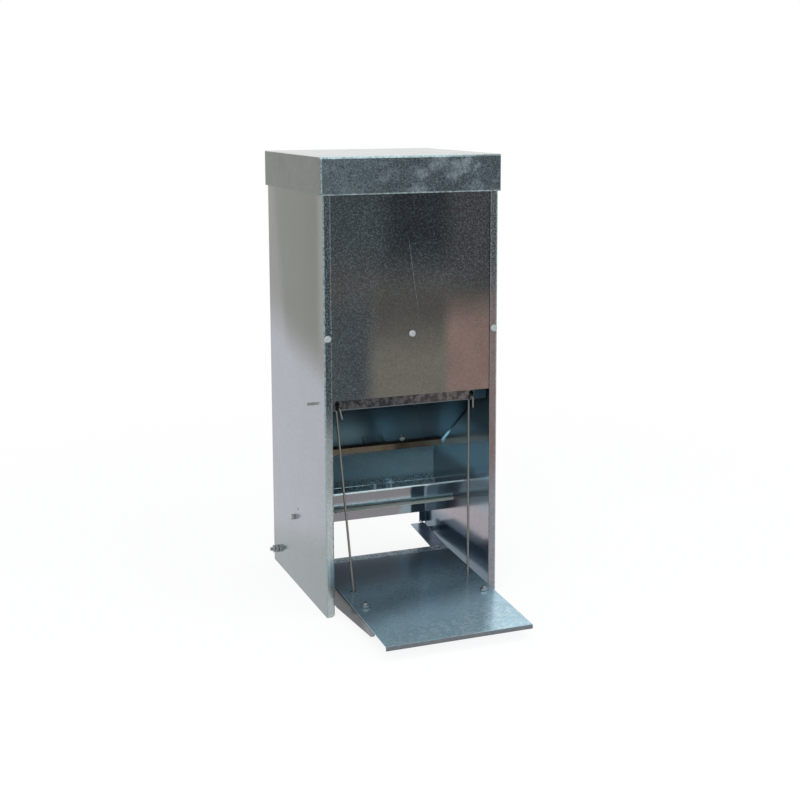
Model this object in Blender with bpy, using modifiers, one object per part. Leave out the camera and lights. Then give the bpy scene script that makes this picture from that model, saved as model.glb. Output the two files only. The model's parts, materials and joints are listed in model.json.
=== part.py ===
"""Treadle feeder of folded galvanised sheet, with a flap that closes the trough.

Units are metres, +Z is up. Sizes are given in the housing's frame: X is centred, Y = 0 is the
front face of the housing and Z = 0 is the floor. The treadle is modelled level on its pivot and
shown pressed down, and the flap is shown open.
"""
import math

import bmesh
import bpy
from mathutils import Matrix, Vector

for old in list(bpy.data.objects):
    bpy.data.objects.remove(old, do_unlink=True)

# Sheet, gaps and folds
SHEET = 0.0010
GAP = 0.0003
RUNNING = 0.0003
BEND = 0.0015
BEND_STEPS = 3

# Housing
WIDTH = 0.250
DEPTH = 0.260
HEIGHT = 0.620
FRONT_FLANGE = 0.011
REAR_FLANGE = 0.0115
REAR_FLANGE_START = 0.030
FLANGE_CORNER = 0.005
FRONT_PANEL_BOTTOM = 0.2975
BACK_PANEL_BOTTOM = 0.100
PUNCH_HOLE_RADIUS = 0.00125
PUNCH_HOLE_Y = 0.130
PUNCH_HOLE_Z = 0.1155

# Lid
LID_SKIRT = 0.050
LID_OVERHANG = 0.003
LID_EDGE = 0.0015

# Front screws, which also carry the hopper floor
SCREW_Z = 0.382
SCREW_INSET = 0.0055
SCREW_RADIUS = 0.0025
SCREW_HEAD_RADIUS = 0.0052
SCREW_HEAD_HEIGHT = 0.0030
SCREW_NUT_FLATS = 0.0080
SCREW_NUT_HEIGHT = 0.0040
SCREW_TIP = 0.0020

# Hopper floor
CHUTE_TAB_UP = 0.010
CHUTE_TAB_DOWN = 0.010
CHUTE_END_Y = 0.172
CHUTE_END_Z = 0.226
CHUTE_SIDE = 0.012
CHUTE_SIDE_START = 0.022

# Rivets of the back panel and of the trough
RIVET_RADIUS = 0.0016
RIVET_HEAD_RADIUS = 0.0035
RIVET_HEAD_HEIGHT = 0.0012
RIVET_LOWER_Z = 0.180
RIVET_FROM_TOP = 0.080
TROUGH_RIVET_X = 0.060

# Trough, as a section across the feeder
LIP_Y = 0.1083
LIP_Z = 0.1378
LIP_HEM_RADIUS = 0.0008
LIP_HEM = 0.008
VALLEY_Y = 0.1871
VALLEY_Z = 0.0702
VALLEY_BEND = 0.003
WALL_Y = 0.2250
WALL_FOOT_Z = 0.1100
WALL_TOP_Z = 0.2750
TROUGH_TAB = 0.014

# Studs in the trough
STUD_Y = 0.2185
STUD_X = 0.0244
STUD_RADIUS = 0.0022
STUD_TOP = 0.1118
STUD_LENGTH = 0.020
BOLT_STUD_X = 0.0507
BOLT_STUD_RADIUS = 0.0018
BOLT_HEAD_FLATS = 0.0090
BOLT_HEAD_HEIGHT = 0.0035
BOLT_STUD_TOP = 0.1140

# Tie rod in front of the trough
TIE_RADIUS = 0.0025
TIE_DOWN_FACE = 0.0563
CAP_RADIUS = 0.0042
CAP_LENGTH = 0.0084
CAP_BORE_DEPTH = 0.0050

# Flap and its pivot
PIVOT_Y = 0.053
PIVOT_Z = 0.285
PIVOT_ROD_RADIUS = 0.0020
PIVOT_ROD_OUT = 0.009
FLAP_SIDE_GAP = 0.003
FLAP_SLOPE = 0.742
FLAP_DROP = 0.0038
STRIP_AHEAD = 0.0255
STRIP_BOTTOM_Z = 0.278
FLAP_REACH = 0.134
FLAP_LIP = 0.0095
EAR_RADIUS = 0.009
EAR_SPREAD = 0.016
EAR_INSET = 0.0002
HOOK_X = 0.0985
HOOK_HOLE_RADIUS = 0.0035
HOOK_HOLE_Z = 0.2873
HOOK_DROP = 0.0008

# Counterweight on the flap
WEIGHT_LENGTH = 0.160
WEIGHT_DEPTH = 0.024
WEIGHT_HEIGHT = 0.008
WEIGHT_Y = 0.170
WEIGHT_SCREW_X = 0.050
WEIGHT_SCREW_RADIUS = 0.0020
WEIGHT_HEAD_RADIUS = 0.0042
WEIGHT_HEAD_HEIGHT = 0.0026
WEIGHT_NUT_FLATS = 0.0070
WEIGHT_NUT_HEIGHT = 0.0032
WEIGHT_TIP = 0.0010

# Treadle pivot
TREADLE_Y = 0.237
TREADLE_Z = 0.0235
TREADLE_PRESSED = math.radians(3.15)
BOLT_RADIUS = 0.0030
BOLT_FLATS = 0.0100
BOLT_CAP_HEIGHT = 0.0040
BOLT_NUT_HEIGHT = 0.0050
LOCK_NUT_HEIGHT = 0.0030
BOLT_OUT = 0.0125
SPACER_RADIUS = 0.0050

# Treadle plate, measured from its pivot while level
PLATE_HALF_WIDTH = 0.1015
PLATE_UP = 0.0178
PLATE_FRONT = 0.4015
PLATE_REAR = 0.1080
PLATE_LIP = 0.0055
SLOT_FORWARD = 0.2264
SLOT_X = 0.085
SLOT_WIDTH = 0.0095
SLOT_DEPTH = 0.0062
ARM_BOLT_X = 0.086
ARM_BOLT_FORWARD = 0.2814
ARM_BOLT_RADIUS = 0.0025
ARM_NUT_FLATS = 0.0085
ARM_NUT_HEIGHT = 0.0040
ARM_HEAD_HEIGHT = 0.0030
ARM_BOLT_TIP = 0.0025

# Lever arms, angle sections under the plate
ARM_SHEET = 0.0015
ARM_TOP_WIDTH = 0.0237
ARM_FRONT_X = 0.1013
ARM_PIVOT_X = 0.1106
ARM_KNEE = 0.145
ARM_TAIL = 0.010
ARM_TOP_END = 0.009
ARM_DEEP = 0.0292
ARM_DEEP_END = 0.208
ARM_NOSE = 0.3455
ARM_NOSE_DEPTH = 0.0112
ARM_TIP = 0.3555
ARM_TIP_DEPTH = 0.0060

# Pull rods
WIRE_RADIUS = 0.00175
HOOK_RADIUS = 0.007
HOOK_TIP_Z = 0.2675
FOOT_RADIUS = 0.0028
FOOT_LENGTH = 0.012
ROD_FOOT_LEFT_X = 0.0835
ROD_FOOT_RIGHT_X = 0.0868
HOOK_LEAN_LEFT = 0.0045
HOOK_LEAN_RIGHT = 0.0

# Colours, as base colour, roughness and metallic
ZINC_SHEET = ((0.62, 0.65, 0.68), 0.35, 0.9)
ZINC_LID = ((0.70, 0.73, 0.75), 0.4, 0.9)
ZINC_DARK = ((0.40, 0.43, 0.46), 0.35, 0.9)
ZINC_BRIGHT = ((0.80, 0.82, 0.83), 0.25, 1.0)
WIRE_STEEL = ((0.45, 0.43, 0.40), 0.45, 0.9)
RAW_STEEL = ((0.30, 0.30, 0.30), 0.5, 0.9)

# Values that follow from the sizes
HALF = WIDTH / 2
INSIDE = HALF - SHEET
FILL = INSIDE - GAP
TOP = HEIGHT - SHEET - GAP
FLANGE_EDGE = HALF - FRONT_FLANGE
SCREW_X = HALF - SCREW_INSET
PANEL_MID_Y = SHEET + GAP + SHEET / 2
TAB_MID_Y = PANEL_MID_Y + SHEET + GAP
BACK_MID_Y = DEPTH - SHEET - GAP - SHEET / 2
TROUGH_TAB_Y = BACK_MID_Y - SHEET - GAP
WALL_TAB_MID_Z = WALL_TOP_Z + TROUGH_TAB_Y - WALL_Y + TROUGH_TAB / 2
PIVOT = Vector((0, PIVOT_Y, PIVOT_Z))
TREADLE_PIVOT = Vector((0, TREADLE_Y, TREADLE_Z))
STRIP_Y = PIVOT_Y - STRIP_AHEAD
FLAP_HALF = INSIDE - FLAP_SIDE_GAP
HOOK_Z = HOOK_HOLE_Z - HOOK_DROP
LID_REAR_Y = DEPTH + LID_OVERHANG
RIVET_Z = (RIVET_LOWER_Z, HEIGHT - RIVET_FROM_TOP)


def treadle_to_housing(forward, up):
    """The housing Y and Z of a treadle point, given ahead of and above the pivot while level."""
    turn = Matrix.Rotation(TREADLE_PRESSED, 3, "X")
    return TREADLE_PIVOT + turn @ Vector((0, -forward, up))


FRONT_REACH_Y = min(
    treadle_to_housing(PLATE_FRONT, PLATE_UP).y, treadle_to_housing(PLATE_FRONT, PLATE_UP - PLATE_LIP).y
)
MIDDLE_Y = (FRONT_REACH_Y + LID_REAR_Y) / 2

# Collections, materials and placing
parts = bpy.data.collections.new("anti_pest_feeder")
cutters = bpy.data.collections.new("cutters")
bpy.context.scene.collection.children.link(parts)
bpy.context.scene.collection.children.link(cutters)


def empty(name, location, parent=None, tilt=0.0):
    frame = bpy.data.objects.new(name, None)
    parts.objects.link(frame)
    frame.parent = parent
    frame.location = location
    frame.rotation_euler.x = tilt
    return frame


def material(name, finish):
    """One Principled material: base colour, roughness and metallic."""
    colour, roughness, metallic = finish
    made = bpy.data.materials.new(name)
    made.use_nodes = True
    shader = made.node_tree.nodes["Principled BSDF"]
    shader.inputs["Base Color"].default_value = (*colour, 1.0)
    shader.inputs["Roughness"].default_value = roughness
    shader.inputs["Metallic"].default_value = metallic
    made.diffuse_color = (*colour, 1.0)
    return made


def add(name, mesh, parent, finish, location=(0, 0, 0)):
    """A sub-part: a named object with its own material, placed under its parent."""
    made = bpy.data.objects.new(name, mesh)
    parts.objects.link(made)
    made.parent = parent
    made.location = location
    mesh.materials.clear()
    mesh.materials.append(material(name, finish))
    return made


def mesh_of(name, body):
    bmesh.ops.recalc_face_normals(body, faces=body.faces)
    mesh = bpy.data.meshes.new(name)
    body.to_mesh(mesh)
    body.free()
    return mesh


def smooth(mesh, angle=40):
    mesh.shade_smooth()
    mesh.set_sharp_from_angle(angle=math.radians(angle))


# Shapes
def box_mesh(name, low, high):
    body = bmesh.new()
    bmesh.ops.create_cube(body, size=1.0)
    low, high = Vector(low), Vector(high)
    size = high - low
    bmesh.ops.scale(body, vec=size, verts=body.verts)
    bmesh.ops.translate(body, vec=(low + high) / 2, verts=body.verts)
    return mesh_of(name, body)


def cylinder_mesh(name, radius, start, end, axis, segments=24):
    """A cylinder along X, Y or Z from start to end, centred on the other two axes."""
    body = bmesh.new()
    bmesh.ops.create_cone(
        body, cap_ends=True, segments=segments, radius1=radius, radius2=radius, depth=end - start
    )
    bmesh.ops.translate(body, vec=(0, 0, (start + end) / 2), verts=body.verts)
    bmesh.ops.rotate(body, matrix=ALONG[axis], verts=body.verts)
    return mesh_of(name, body)


def turned_mesh(name, profile, axis, steps=24):
    """A turned shape: the profile is (radius, height) pairs from the top down the outer side."""
    body = bmesh.new()
    line = [body.verts.new((radius, 0, height)) for radius, height in profile]
    for a, b in zip(line, line[1:]):
        body.edges.new((a, b))
    mesh = bpy.data.meshes.new(name)
    body.to_mesh(mesh)
    body.free()
    carrier = bpy.data.objects.new(name + "_profile", mesh)
    bpy.context.scene.collection.objects.link(carrier)
    screw = carrier.modifiers.new("turn", "SCREW")
    screw.axis = "Z"
    screw.steps = steps
    screw.render_steps = steps
    screw.use_merge_vertices = True
    screw.merge_threshold = 0.00001
    turned = evaluated_mesh(carrier)
    turned.transform(ALONG[axis].to_4x4())
    return turned


def evaluated_mesh(carrier):
    """The carrier's mesh with its modifiers applied; the carrier is removed."""
    bpy.context.view_layer.update()
    graph = bpy.context.evaluated_depsgraph_get()
    mesh = bpy.data.meshes.new_from_object(carrier.evaluated_get(graph))
    mesh.name = carrier.name
    bpy.data.objects.remove(carrier, do_unlink=True)
    return mesh


# Z is turned to the named direction
ALONG = {
    "X": Matrix.Rotation(math.radians(90), 3, "Y"),
    "-X": Matrix.Rotation(math.radians(-90), 3, "Y"),
    "Y": Matrix.Rotation(math.radians(-90), 3, "X"),
    "-Y": Matrix.Rotation(math.radians(90), 3, "X"),
    "Z": Matrix.Identity(3),
    "-Z": Matrix.Rotation(math.radians(180), 3, "X"),
}


def arc(centre, radius, start, end, steps):
    """Points on an arc from start to end, in degrees."""
    points = []
    for step in range(steps + 1):
        angle = math.radians(start + (end - start) * step / steps)
        points.append((centre[0] + radius * math.cos(angle), centre[1] + radius * math.sin(angle)))
    return points


def rounded(points, radius, steps=BEND_STEPS):
    """The line with each inner corner replaced by a fold of the given radius."""
    made = [Vector(points[0])]
    for before, corner, after in zip(points, points[1:], points[2:]):
        before, corner, after = Vector(before), Vector(corner), Vector(after)
        back = (before - corner).normalized()
        ahead = (after - corner).normalized()
        half = back.angle(ahead) / 2
        reach = radius / math.tan(half)
        centre = corner + (back + ahead).normalized() * (radius / math.sin(half))
        first = corner + back * reach - centre
        turn = first.angle_signed(corner + ahead * reach - centre)
        for step in range(steps + 1):
            spin = Matrix.Rotation(-turn * step / steps, 2)
            made.append(centre + spin @ first)
    made.append(Vector(points[-1]))
    return made


def folded_sheet(name, line, start, end, axis, thickness=SHEET):
    """A folded sheet: the middle line of its section, drawn out along X or Z and thickened."""
    body = bmesh.new()
    if axis == "X":
        row = [body.verts.new((start, a, b)) for a, b in line]
        draw = Vector((end - start, 0, 0))
    else:
        row = [body.verts.new((a, b, start)) for a, b in line]
        draw = Vector((0, 0, end - start))
    edges = [body.edges.new(pair) for pair in zip(row, row[1:])]
    drawn = bmesh.ops.extrude_edge_only(body, edges=edges)["geom"]
    bmesh.ops.translate(body, vec=draw, verts=[v for v in drawn if isinstance(v, bmesh.types.BMVert)])
    mesh = bpy.data.meshes.new(name)
    body.to_mesh(mesh)
    body.free()
    return thick_mesh(name, mesh, thickness)


def thick_mesh(name, surface, thickness, offset=0.0):
    carrier = bpy.data.objects.new(name + "_surface", surface)
    bpy.context.scene.collection.objects.link(carrier)
    solid = carrier.modifiers.new("sheet", "SOLIDIFY")
    solid.thickness = thickness
    solid.offset = offset
    solid.use_even_offset = True
    return evaluated_mesh(carrier)


def plate_mesh(name, outline, thickness, place):
    """A flat plate from its outline in the XY plane, moved by the matrix place."""
    curve = bpy.data.curves.new(name, "CURVE")
    curve.dimensions = "2D"
    curve.fill_mode = "BOTH"
    curve.extrude = thickness / 2
    spline = curve.splines.new("POLY")
    spline.points.add(len(outline) - 1)
    for point, (a, b) in zip(spline.points, outline):
        point.co = (a, b, 0, 1)
    spline.use_cyclic_u = True
    carrier = bpy.data.objects.new(name + "_outline", curve)
    bpy.context.scene.collection.objects.link(carrier)
    mesh = evaluated_mesh(carrier)
    body = bmesh.new()
    body.from_mesh(mesh)
    bmesh.ops.remove_doubles(body, verts=body.verts, dist=0.00001)
    bmesh.ops.transform(body, matrix=place, verts=body.verts)
    return mesh_of(name, body)


def side_plane(x):
    """Takes an outline drawn as (Y, Z) to the plane across X at x."""
    turn = Matrix(((0, 0, 1), (1, 0, 0), (0, 1, 0))).to_4x4()
    return Matrix.Translation((x, 0, 0)) @ turn


def cut(target, mesh, location=(0, 0, 0)):
    """Cuts the mesh out of the target. The cutter stays beside it, hidden from renders."""
    combine(target, mesh, location, "DIFFERENCE")


def join(target, mesh, location=(0, 0, 0)):
    """Joins the mesh to the target as one body."""
    combine(target, mesh, location, "UNION")


def combine(target, mesh, location, operation):
    tool = bpy.data.objects.new(f"{target.name}_tool_{len(target.modifiers)}", mesh)
    cutters.objects.link(tool)
    tool.parent = target
    tool.location = location
    tool.hide_render = True
    tool.display_type = "WIRE"
    step = target.modifiers.new(operation.lower(), "BOOLEAN")
    step.operation = operation
    step.solver = "EXACT"
    step.object = tool


def hole(target, centre, radius, reach, axis, segments=24):
    """A round hole through the target, along X, Y or Z."""
    tool = cylinder_mesh(target.name + "_hole", radius, -reach, reach, axis, segments)
    cut(target, tool, centre)


# Fasteners
def hex_mesh(name, flats, start, end, axis, turn=0.0):
    """A hexagonal prism. With no turn, one along Y or Z has a flat towards +X and one towards -X."""
    body = bmesh.new()
    radius = flats / math.sqrt(3)
    bmesh.ops.create_cone(
        body, cap_ends=True, segments=6, radius1=radius, radius2=radius, depth=end - start
    )
    bmesh.ops.rotate(body, matrix=Matrix.Rotation(turn, 3, "Z"), verts=body.verts)
    bmesh.ops.translate(body, vec=(0, 0, (start + end) / 2), verts=body.verts)
    bmesh.ops.rotate(body, matrix=ALONG[axis], verts=body.verts)
    return mesh_of(name, body)


def nut(name, parent, location, flats, height, bolt_radius, axis, finish=ZINC_BRIGHT, turn=0.0):
    """A hex nut standing on its location, with its bore clear of the bolt."""
    made = add(name, hex_mesh(name, flats, 0, height, axis, turn), parent, finish, location)
    hole(made, (0, 0, 0), bolt_radius + GAP, 2 * height, axis, 20)
    return made


def hex_bolt(name, parent, location, flats, head, radius, length, axis, finish=ZINC_BRIGHT):
    """A bolt whose shank leaves its location along the axis, with the head behind it."""
    made = add(name, hex_mesh(name, flats, -head, 0, axis), parent, finish, location)
    join(made, cylinder_mesh(name + "_shank", radius, -head / 2, length, axis, 20))
    return made


def dome_screw(name, parent, location, head_radius, head, radius, length, axis):
    """A screw with a domed head: the shank leaves its location along the axis."""
    dome = [(head_radius * math.sin(a), -head * math.cos(a)) for a in angles_up(6)]
    profile = [(0, length), (radius, length), (radius, 0), (head_radius, 0)] + dome[1:]
    mesh = turned_mesh(name, profile, axis)
    smooth(mesh)
    return add(name, mesh, parent, ZINC_BRIGHT, location)


def angles_up(steps):
    """Angles from a quarter turn down to nothing."""
    return [math.pi / 2 * (1 - step / steps) for step in range(steps + 1)]


# The housing's frame is moved so that the whole feeder is centred on the origin
feeder = empty("feeder", (0, -MIDDLE_Y, 0))
flap_axis = empty("flap_axis", PIVOT, feeder)
treadle_axis = empty("treadle_axis", TREADLE_PIVOT, feeder, TREADLE_PRESSED)

# Trough section and the tie rod's place in front of it
LIP = Vector((LIP_Y, LIP_Z))
VALLEY = Vector((VALLEY_Y, VALLEY_Z))
DOWN_FACE = (VALLEY - LIP).normalized()
OUT_OF_FACE = Vector((DOWN_FACE.y, -DOWN_FACE.x))
TIE = LIP + DOWN_FACE * TIE_DOWN_FACE + OUT_OF_FACE * (SHEET / 2 + GAP + TIE_RADIUS)


def side_panel(side):
    """A side sheet with a flange at the front and one at the back."""
    name = "side_panel_right" if side > 0 else "side_panel_left"
    front = SHEET / 2
    back = DEPTH - SHEET / 2
    outer = HALF - SHEET / 2
    corners = [
        (side * FLANGE_EDGE, front),
        (side * outer, front),
        (side * outer, back),
        (side * (HALF - REAR_FLANGE), back),
    ]
    mesh = folded_sheet(name, rounded(corners, BEND - SHEET / 2), 0, TOP, "Z")
    panel = add(name, mesh, feeder, ZINC_SHEET)
    reach = 4 * SHEET
    hole(panel, (side * HALF, PIVOT_Y, PIVOT_Z), PIVOT_ROD_RADIUS + RUNNING, reach, "X")
    hole(panel, (side * HALF, TIE.x, TIE.y), TIE_RADIUS + GAP, reach, "X")
    hole(panel, (side * HALF, TREADLE_Y, TREADLE_Z), BOLT_RADIUS + GAP, reach, "X")
    hole(panel, (side * HALF, PUNCH_HOLE_Y, PUNCH_HOLE_Z), PUNCH_HOLE_RADIUS, reach, "X", 12)
    hole(panel, (side * SCREW_X, 0, SCREW_Z), SCREW_RADIUS + GAP, reach, "Y")
    for height in RIVET_Z:
        hole(panel, (side * SCREW_X, DEPTH, height), RIVET_RADIUS + GAP, reach, "Y")
    cut(panel, flange_end(name + "_flange_end", side))
    cut(panel, flange_corner(name + "_corner", side))
    return panel


def flange_end(name, side):
    """The waste below the lower end of the rear flange."""
    near, far = HALF - REAR_FLANGE - SHEET, INSIDE - SHEET / 2
    low = (min(side * near, side * far), DEPTH - 3 * SHEET, -SHEET)
    high = (max(side * near, side * far), DEPTH + SHEET, REAR_FLANGE_START)
    return box_mesh(name, low, high)


def flange_corner(name, side):
    """The waste outside the rounded lower corner of the front flange."""
    out = 0.001
    edge = FLANGE_EDGE
    bow = arc((edge + FLANGE_CORNER, FLANGE_CORNER), FLANGE_CORNER, 180, 270, 5)
    outline = bow + [(edge + FLANGE_CORNER, -out), (edge - out, -out), (edge - out, FLANGE_CORNER)]
    outline = [(side * a, b) for a, b in outline]
    place = Matrix.Rotation(math.radians(90), 4, "X")
    return plate_mesh(name, outline, 4 * SHEET, place)


for side in (-1, 1):
    side_panel(side)

# Front and back panels, held between the side sheets
front = add(
    "front_panel",
    box_mesh(
        "front_panel",
        (-FILL, PANEL_MID_Y - SHEET / 2, FRONT_PANEL_BOTTOM),
        (FILL, PANEL_MID_Y + SHEET / 2, TOP),
    ),
    feeder,
    ZINC_DARK,
)
back = add(
    "back_panel",
    box_mesh(
        "back_panel",
        (-FILL, BACK_MID_Y - SHEET / 2, BACK_PANEL_BOTTOM),
        (FILL, BACK_MID_Y + SHEET / 2, TOP),
    ),
    feeder,
    ZINC_SHEET,
)

for panel, across_y in ((front, 0), (back, DEPTH)):
    name = panel.name
    heights = (SCREW_Z,) if panel is front else RIVET_Z
    radius = (SCREW_RADIUS if panel is front else RIVET_RADIUS) + GAP
    for height in heights:
        for side in (-1, 1):
            hole(panel, (side * SCREW_X, across_y, height), radius, 6 * SHEET, "Y")
hole(front, (0, 0, SCREW_Z), SCREW_RADIUS + GAP, 6 * SHEET, "Y")
for side in (-1, 1):
    hole(back, (side * TROUGH_RIVET_X, DEPTH, WALL_TAB_MID_Z), RIVET_RADIUS + GAP, 6 * SHEET, "Y")


def feed_chute():
    """The sloping hopper floor: a tab behind the front panel, the slope, and its side flanges."""
    tab_foot = SCREW_Z - CHUTE_TAB_DOWN
    line = [(TAB_MID_Y, SCREW_Z + CHUTE_TAB_UP), (TAB_MID_Y, tab_foot), (CHUTE_END_Y, CHUTE_END_Z)]
    mesh = folded_sheet("feed_chute", rounded(line, BEND), -FILL, FILL, "X")
    chute = add("feed_chute", mesh, feeder, ZINC_SHEET)
    fall = (CHUTE_END_Z - tab_foot) / (CHUTE_END_Y - TAB_MID_Y)

    def floor_z(y):
        return tab_foot + fall * (y - TAB_MID_Y)

    first, last = CHUTE_SIDE_START, CHUTE_END_Y - SHEET
    outline = [(first, floor_z(first)), (last, floor_z(last))]
    outline += [(last, floor_z(last) + CHUTE_SIDE), (first, floor_z(first) + CHUTE_SIDE)]
    for side in (-1, 1):
        x = side * (FILL - EAR_INSET - SHEET / 2)
        join(chute, plate_mesh("chute_side", outline, SHEET, side_plane(x)))
    for x in (-SCREW_X, 0, SCREW_X):
        hole(chute, (x, 0, SCREW_Z), SCREW_RADIUS + GAP, 6 * SHEET, "Y")
    return chute


def trough():
    """The trough: a hemmed lip, the front face, the valley, the wall and a tab on the back panel."""
    lip_angle = math.degrees(math.atan2(OUT_OF_FACE.y, OUT_OF_FACE.x))
    hem_centre = LIP + OUT_OF_FACE * LIP_HEM_RADIUS
    turn = arc(hem_centre, LIP_HEM_RADIUS, lip_angle + 360, lip_angle + 180, 6)
    hem_end = LIP + OUT_OF_FACE * (2 * LIP_HEM_RADIUS) + DOWN_FACE * LIP_HEM
    run_back = TROUGH_TAB_Y - WALL_Y
    folds = [turn[-1], VALLEY, (WALL_Y, WALL_FOOT_Z), (WALL_Y, WALL_TOP_Z)]
    folds += [(TROUGH_TAB_Y, WALL_TOP_Z + run_back), (TROUGH_TAB_Y, WALL_TOP_Z + run_back + TROUGH_TAB)]
    line = [hem_end] + turn[:-1] + rounded(folds, VALLEY_BEND)
    made = add("trough", folded_sheet("trough", line, -FILL, FILL, "X"), feeder, ZINC_DARK)
    for side in (-1, 1):
        hole(made, (side * TROUGH_RIVET_X, DEPTH, WALL_TAB_MID_Z), RIVET_RADIUS + GAP, 8 * SHEET, "Y")
    return made


feed_chute()
trough()

# Front screws with their nuts behind the hopper floor's tab
tab_back = TAB_MID_Y + SHEET / 2 + GAP
for place, x in (("left", -SCREW_X), ("centre", 0), ("right", SCREW_X)):
    seat = 0 if x else SHEET + GAP
    dome_screw(
        f"panel_screw_{place}",
        feeder,
        (x, seat - GAP, SCREW_Z),
        SCREW_HEAD_RADIUS,
        SCREW_HEAD_HEIGHT,
        SCREW_RADIUS,
        tab_back + SCREW_NUT_HEIGHT + SCREW_TIP - seat,
        "Y",
    )
    nut(
        f"panel_nut_{place}",
        feeder,
        (x, tab_back, SCREW_Z),
        SCREW_NUT_FLATS,
        SCREW_NUT_HEIGHT,
        SCREW_RADIUS,
        "Y",
    )


def rivet(name, x, z, seat, grip):
    """A blind rivet pushed forward from behind: its head lies at the back, its bulb inside."""
    end = grip + RIVET_HEAD_HEIGHT
    profile = [(0, end), (RIVET_RADIUS + SHEET / 2, end), (RIVET_RADIUS + SHEET, grip), (RIVET_RADIUS, grip)]
    profile += [(RIVET_RADIUS, 0), (RIVET_HEAD_RADIUS, 0), (RIVET_HEAD_RADIUS - SHEET, -RIVET_HEAD_HEIGHT)]
    profile += [(0, -RIVET_HEAD_HEIGHT)]
    mesh = turned_mesh(name, profile, "-Y", 16)
    smooth(mesh, 50)
    return add(name, mesh, feeder, ZINC_BRIGHT, (x, seat, z))


for place, side in (("left", -1), ("right", 1)):
    for level, height in zip(("lower", "upper"), RIVET_Z):
        rivet(f"back_rivet_{place}_{level}", side * SCREW_X, height, DEPTH + GAP, 2 * SHEET + 3 * GAP)
    tab_seat = BACK_MID_Y + SHEET / 2 + GAP
    rivet(f"trough_rivet_{place}", side * TROUGH_RIVET_X, WALL_TAB_MID_Z, tab_seat, 2 * SHEET + 3 * GAP)


def pivot_rod():
    """The plain wire that the flap turns on, with round ends outside both side sheets."""
    reach = HALF + PIVOT_ROD_OUT
    r = PIVOT_ROD_RADIUS
    nose = arc((0, reach - r), r, 90, 0, 4)
    profile = nose + [(a, -b) for a, b in reversed(nose)]
    mesh = turned_mesh("flap_pivot_rod", profile, "X", 16)
    smooth(mesh)
    return add("flap_pivot_rod", mesh, feeder, WIRE_STEEL, PIVOT)


def tie_rod():
    """The rod that ties the side sheets together in front of the trough, with its cap nuts."""
    reach = HALF + GAP + CAP_BORE_DEPTH - GAP
    rod = cylinder_mesh("tie_rod", TIE_RADIUS, -reach, reach, "X", 20)
    smooth(rod)
    add("tie_rod", rod, feeder, WIRE_STEEL, (0, TIE.x, TIE.y))
    round_end = CAP_LENGTH - CAP_RADIUS
    bore = TIE_RADIUS + GAP
    profile = arc((0, round_end), CAP_RADIUS, 90, 0, 5)
    profile += [(CAP_RADIUS, 0), (bore, 0), (bore, CAP_BORE_DEPTH), (0, CAP_BORE_DEPTH)]
    for place, side, axis in (("left", -1, "-X"), ("right", 1, "X")):
        mesh = turned_mesh(f"tie_rod_nut_{place}", profile, axis, 20)
        smooth(mesh, 30)
        seat = side * (HALF + GAP)
        add(f"tie_rod_nut_{place}", mesh, feeder, ZINC_BRIGHT, (seat, TIE.x, TIE.y))


pivot_rod()
tie_rod()


def trough_studs():
    """Two studs welded to the trough's rear slope: one plain, one with a hex head."""
    run = WALL_Y - VALLEY_Y
    rise = WALL_FOOT_Z - VALLEY_Z
    lift = (SHEET / 2 + GAP) * math.hypot(run, rise) / run
    ground = [(VALLEY_Y, VALLEY_Z + lift), (WALL_Y, WALL_FOOT_Z + lift), (WALL_Y, VALLEY_Z - rise)]
    ground.append((VALLEY_Y, VALLEY_Z - rise))
    plain = cylinder_mesh("trough_stud", STUD_RADIUS, -STUD_LENGTH, 0, "Z", 16)
    plain = add("trough_stud", plain, feeder, ZINC_BRIGHT, (STUD_X, STUD_Y, STUD_TOP))
    seat = (BOLT_STUD_X, STUD_Y, BOLT_STUD_TOP - BOLT_HEAD_HEIGHT)
    headed = hex_bolt(
        "trough_bolt",
        feeder,
        seat,
        BOLT_HEAD_FLATS,
        BOLT_HEAD_HEIGHT,
        BOLT_STUD_RADIUS,
        STUD_LENGTH,
        "-Z",
    )
    for stud in (plain, headed):
        waste = plate_mesh("below_slope", ground, 3 * BOLT_HEAD_FLATS, side_plane(0))
        cut(stud, waste, -stud.location + Vector((stud.location.x, 0, 0)))


# Lid
def lid():
    """A cap folded from one sheet, open below, that drops over the housing."""
    low = (-HALF - LID_OVERHANG, -LID_OVERHANG, HEIGHT - LID_SKIRT)
    high = (HALF + LID_OVERHANG, LID_REAR_Y, HEIGHT)
    body = bmesh.new()
    body.from_mesh(box_mesh("lid_block", low, high))
    floor = [face for face in body.faces if face.normal.z < -0.5]
    bmesh.ops.delete(body, geom=floor, context="FACES_ONLY")
    folds = [edge for edge in body.edges if not edge.is_boundary]
    bmesh.ops.bevel(body, geom=folds, offset=LID_EDGE, segments=2, profile=0.5, affect="EDGES")
    surface = mesh_of("lid_surface", body)
    made = thick_mesh("lid", surface, SHEET, offset=-1.0)
    return add("lid", made, feeder, ZINC_LID)


lid()


# Flap: it turns about the pivot rod, so it is modelled around that axis
def flap_middle(y):
    """Height of the flap's middle plane above the pivot, y behind it."""
    return -FLAP_DROP - FLAP_SLOPE * y


FLAP_TILT = -math.atan(FLAP_SLOPE)


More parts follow.
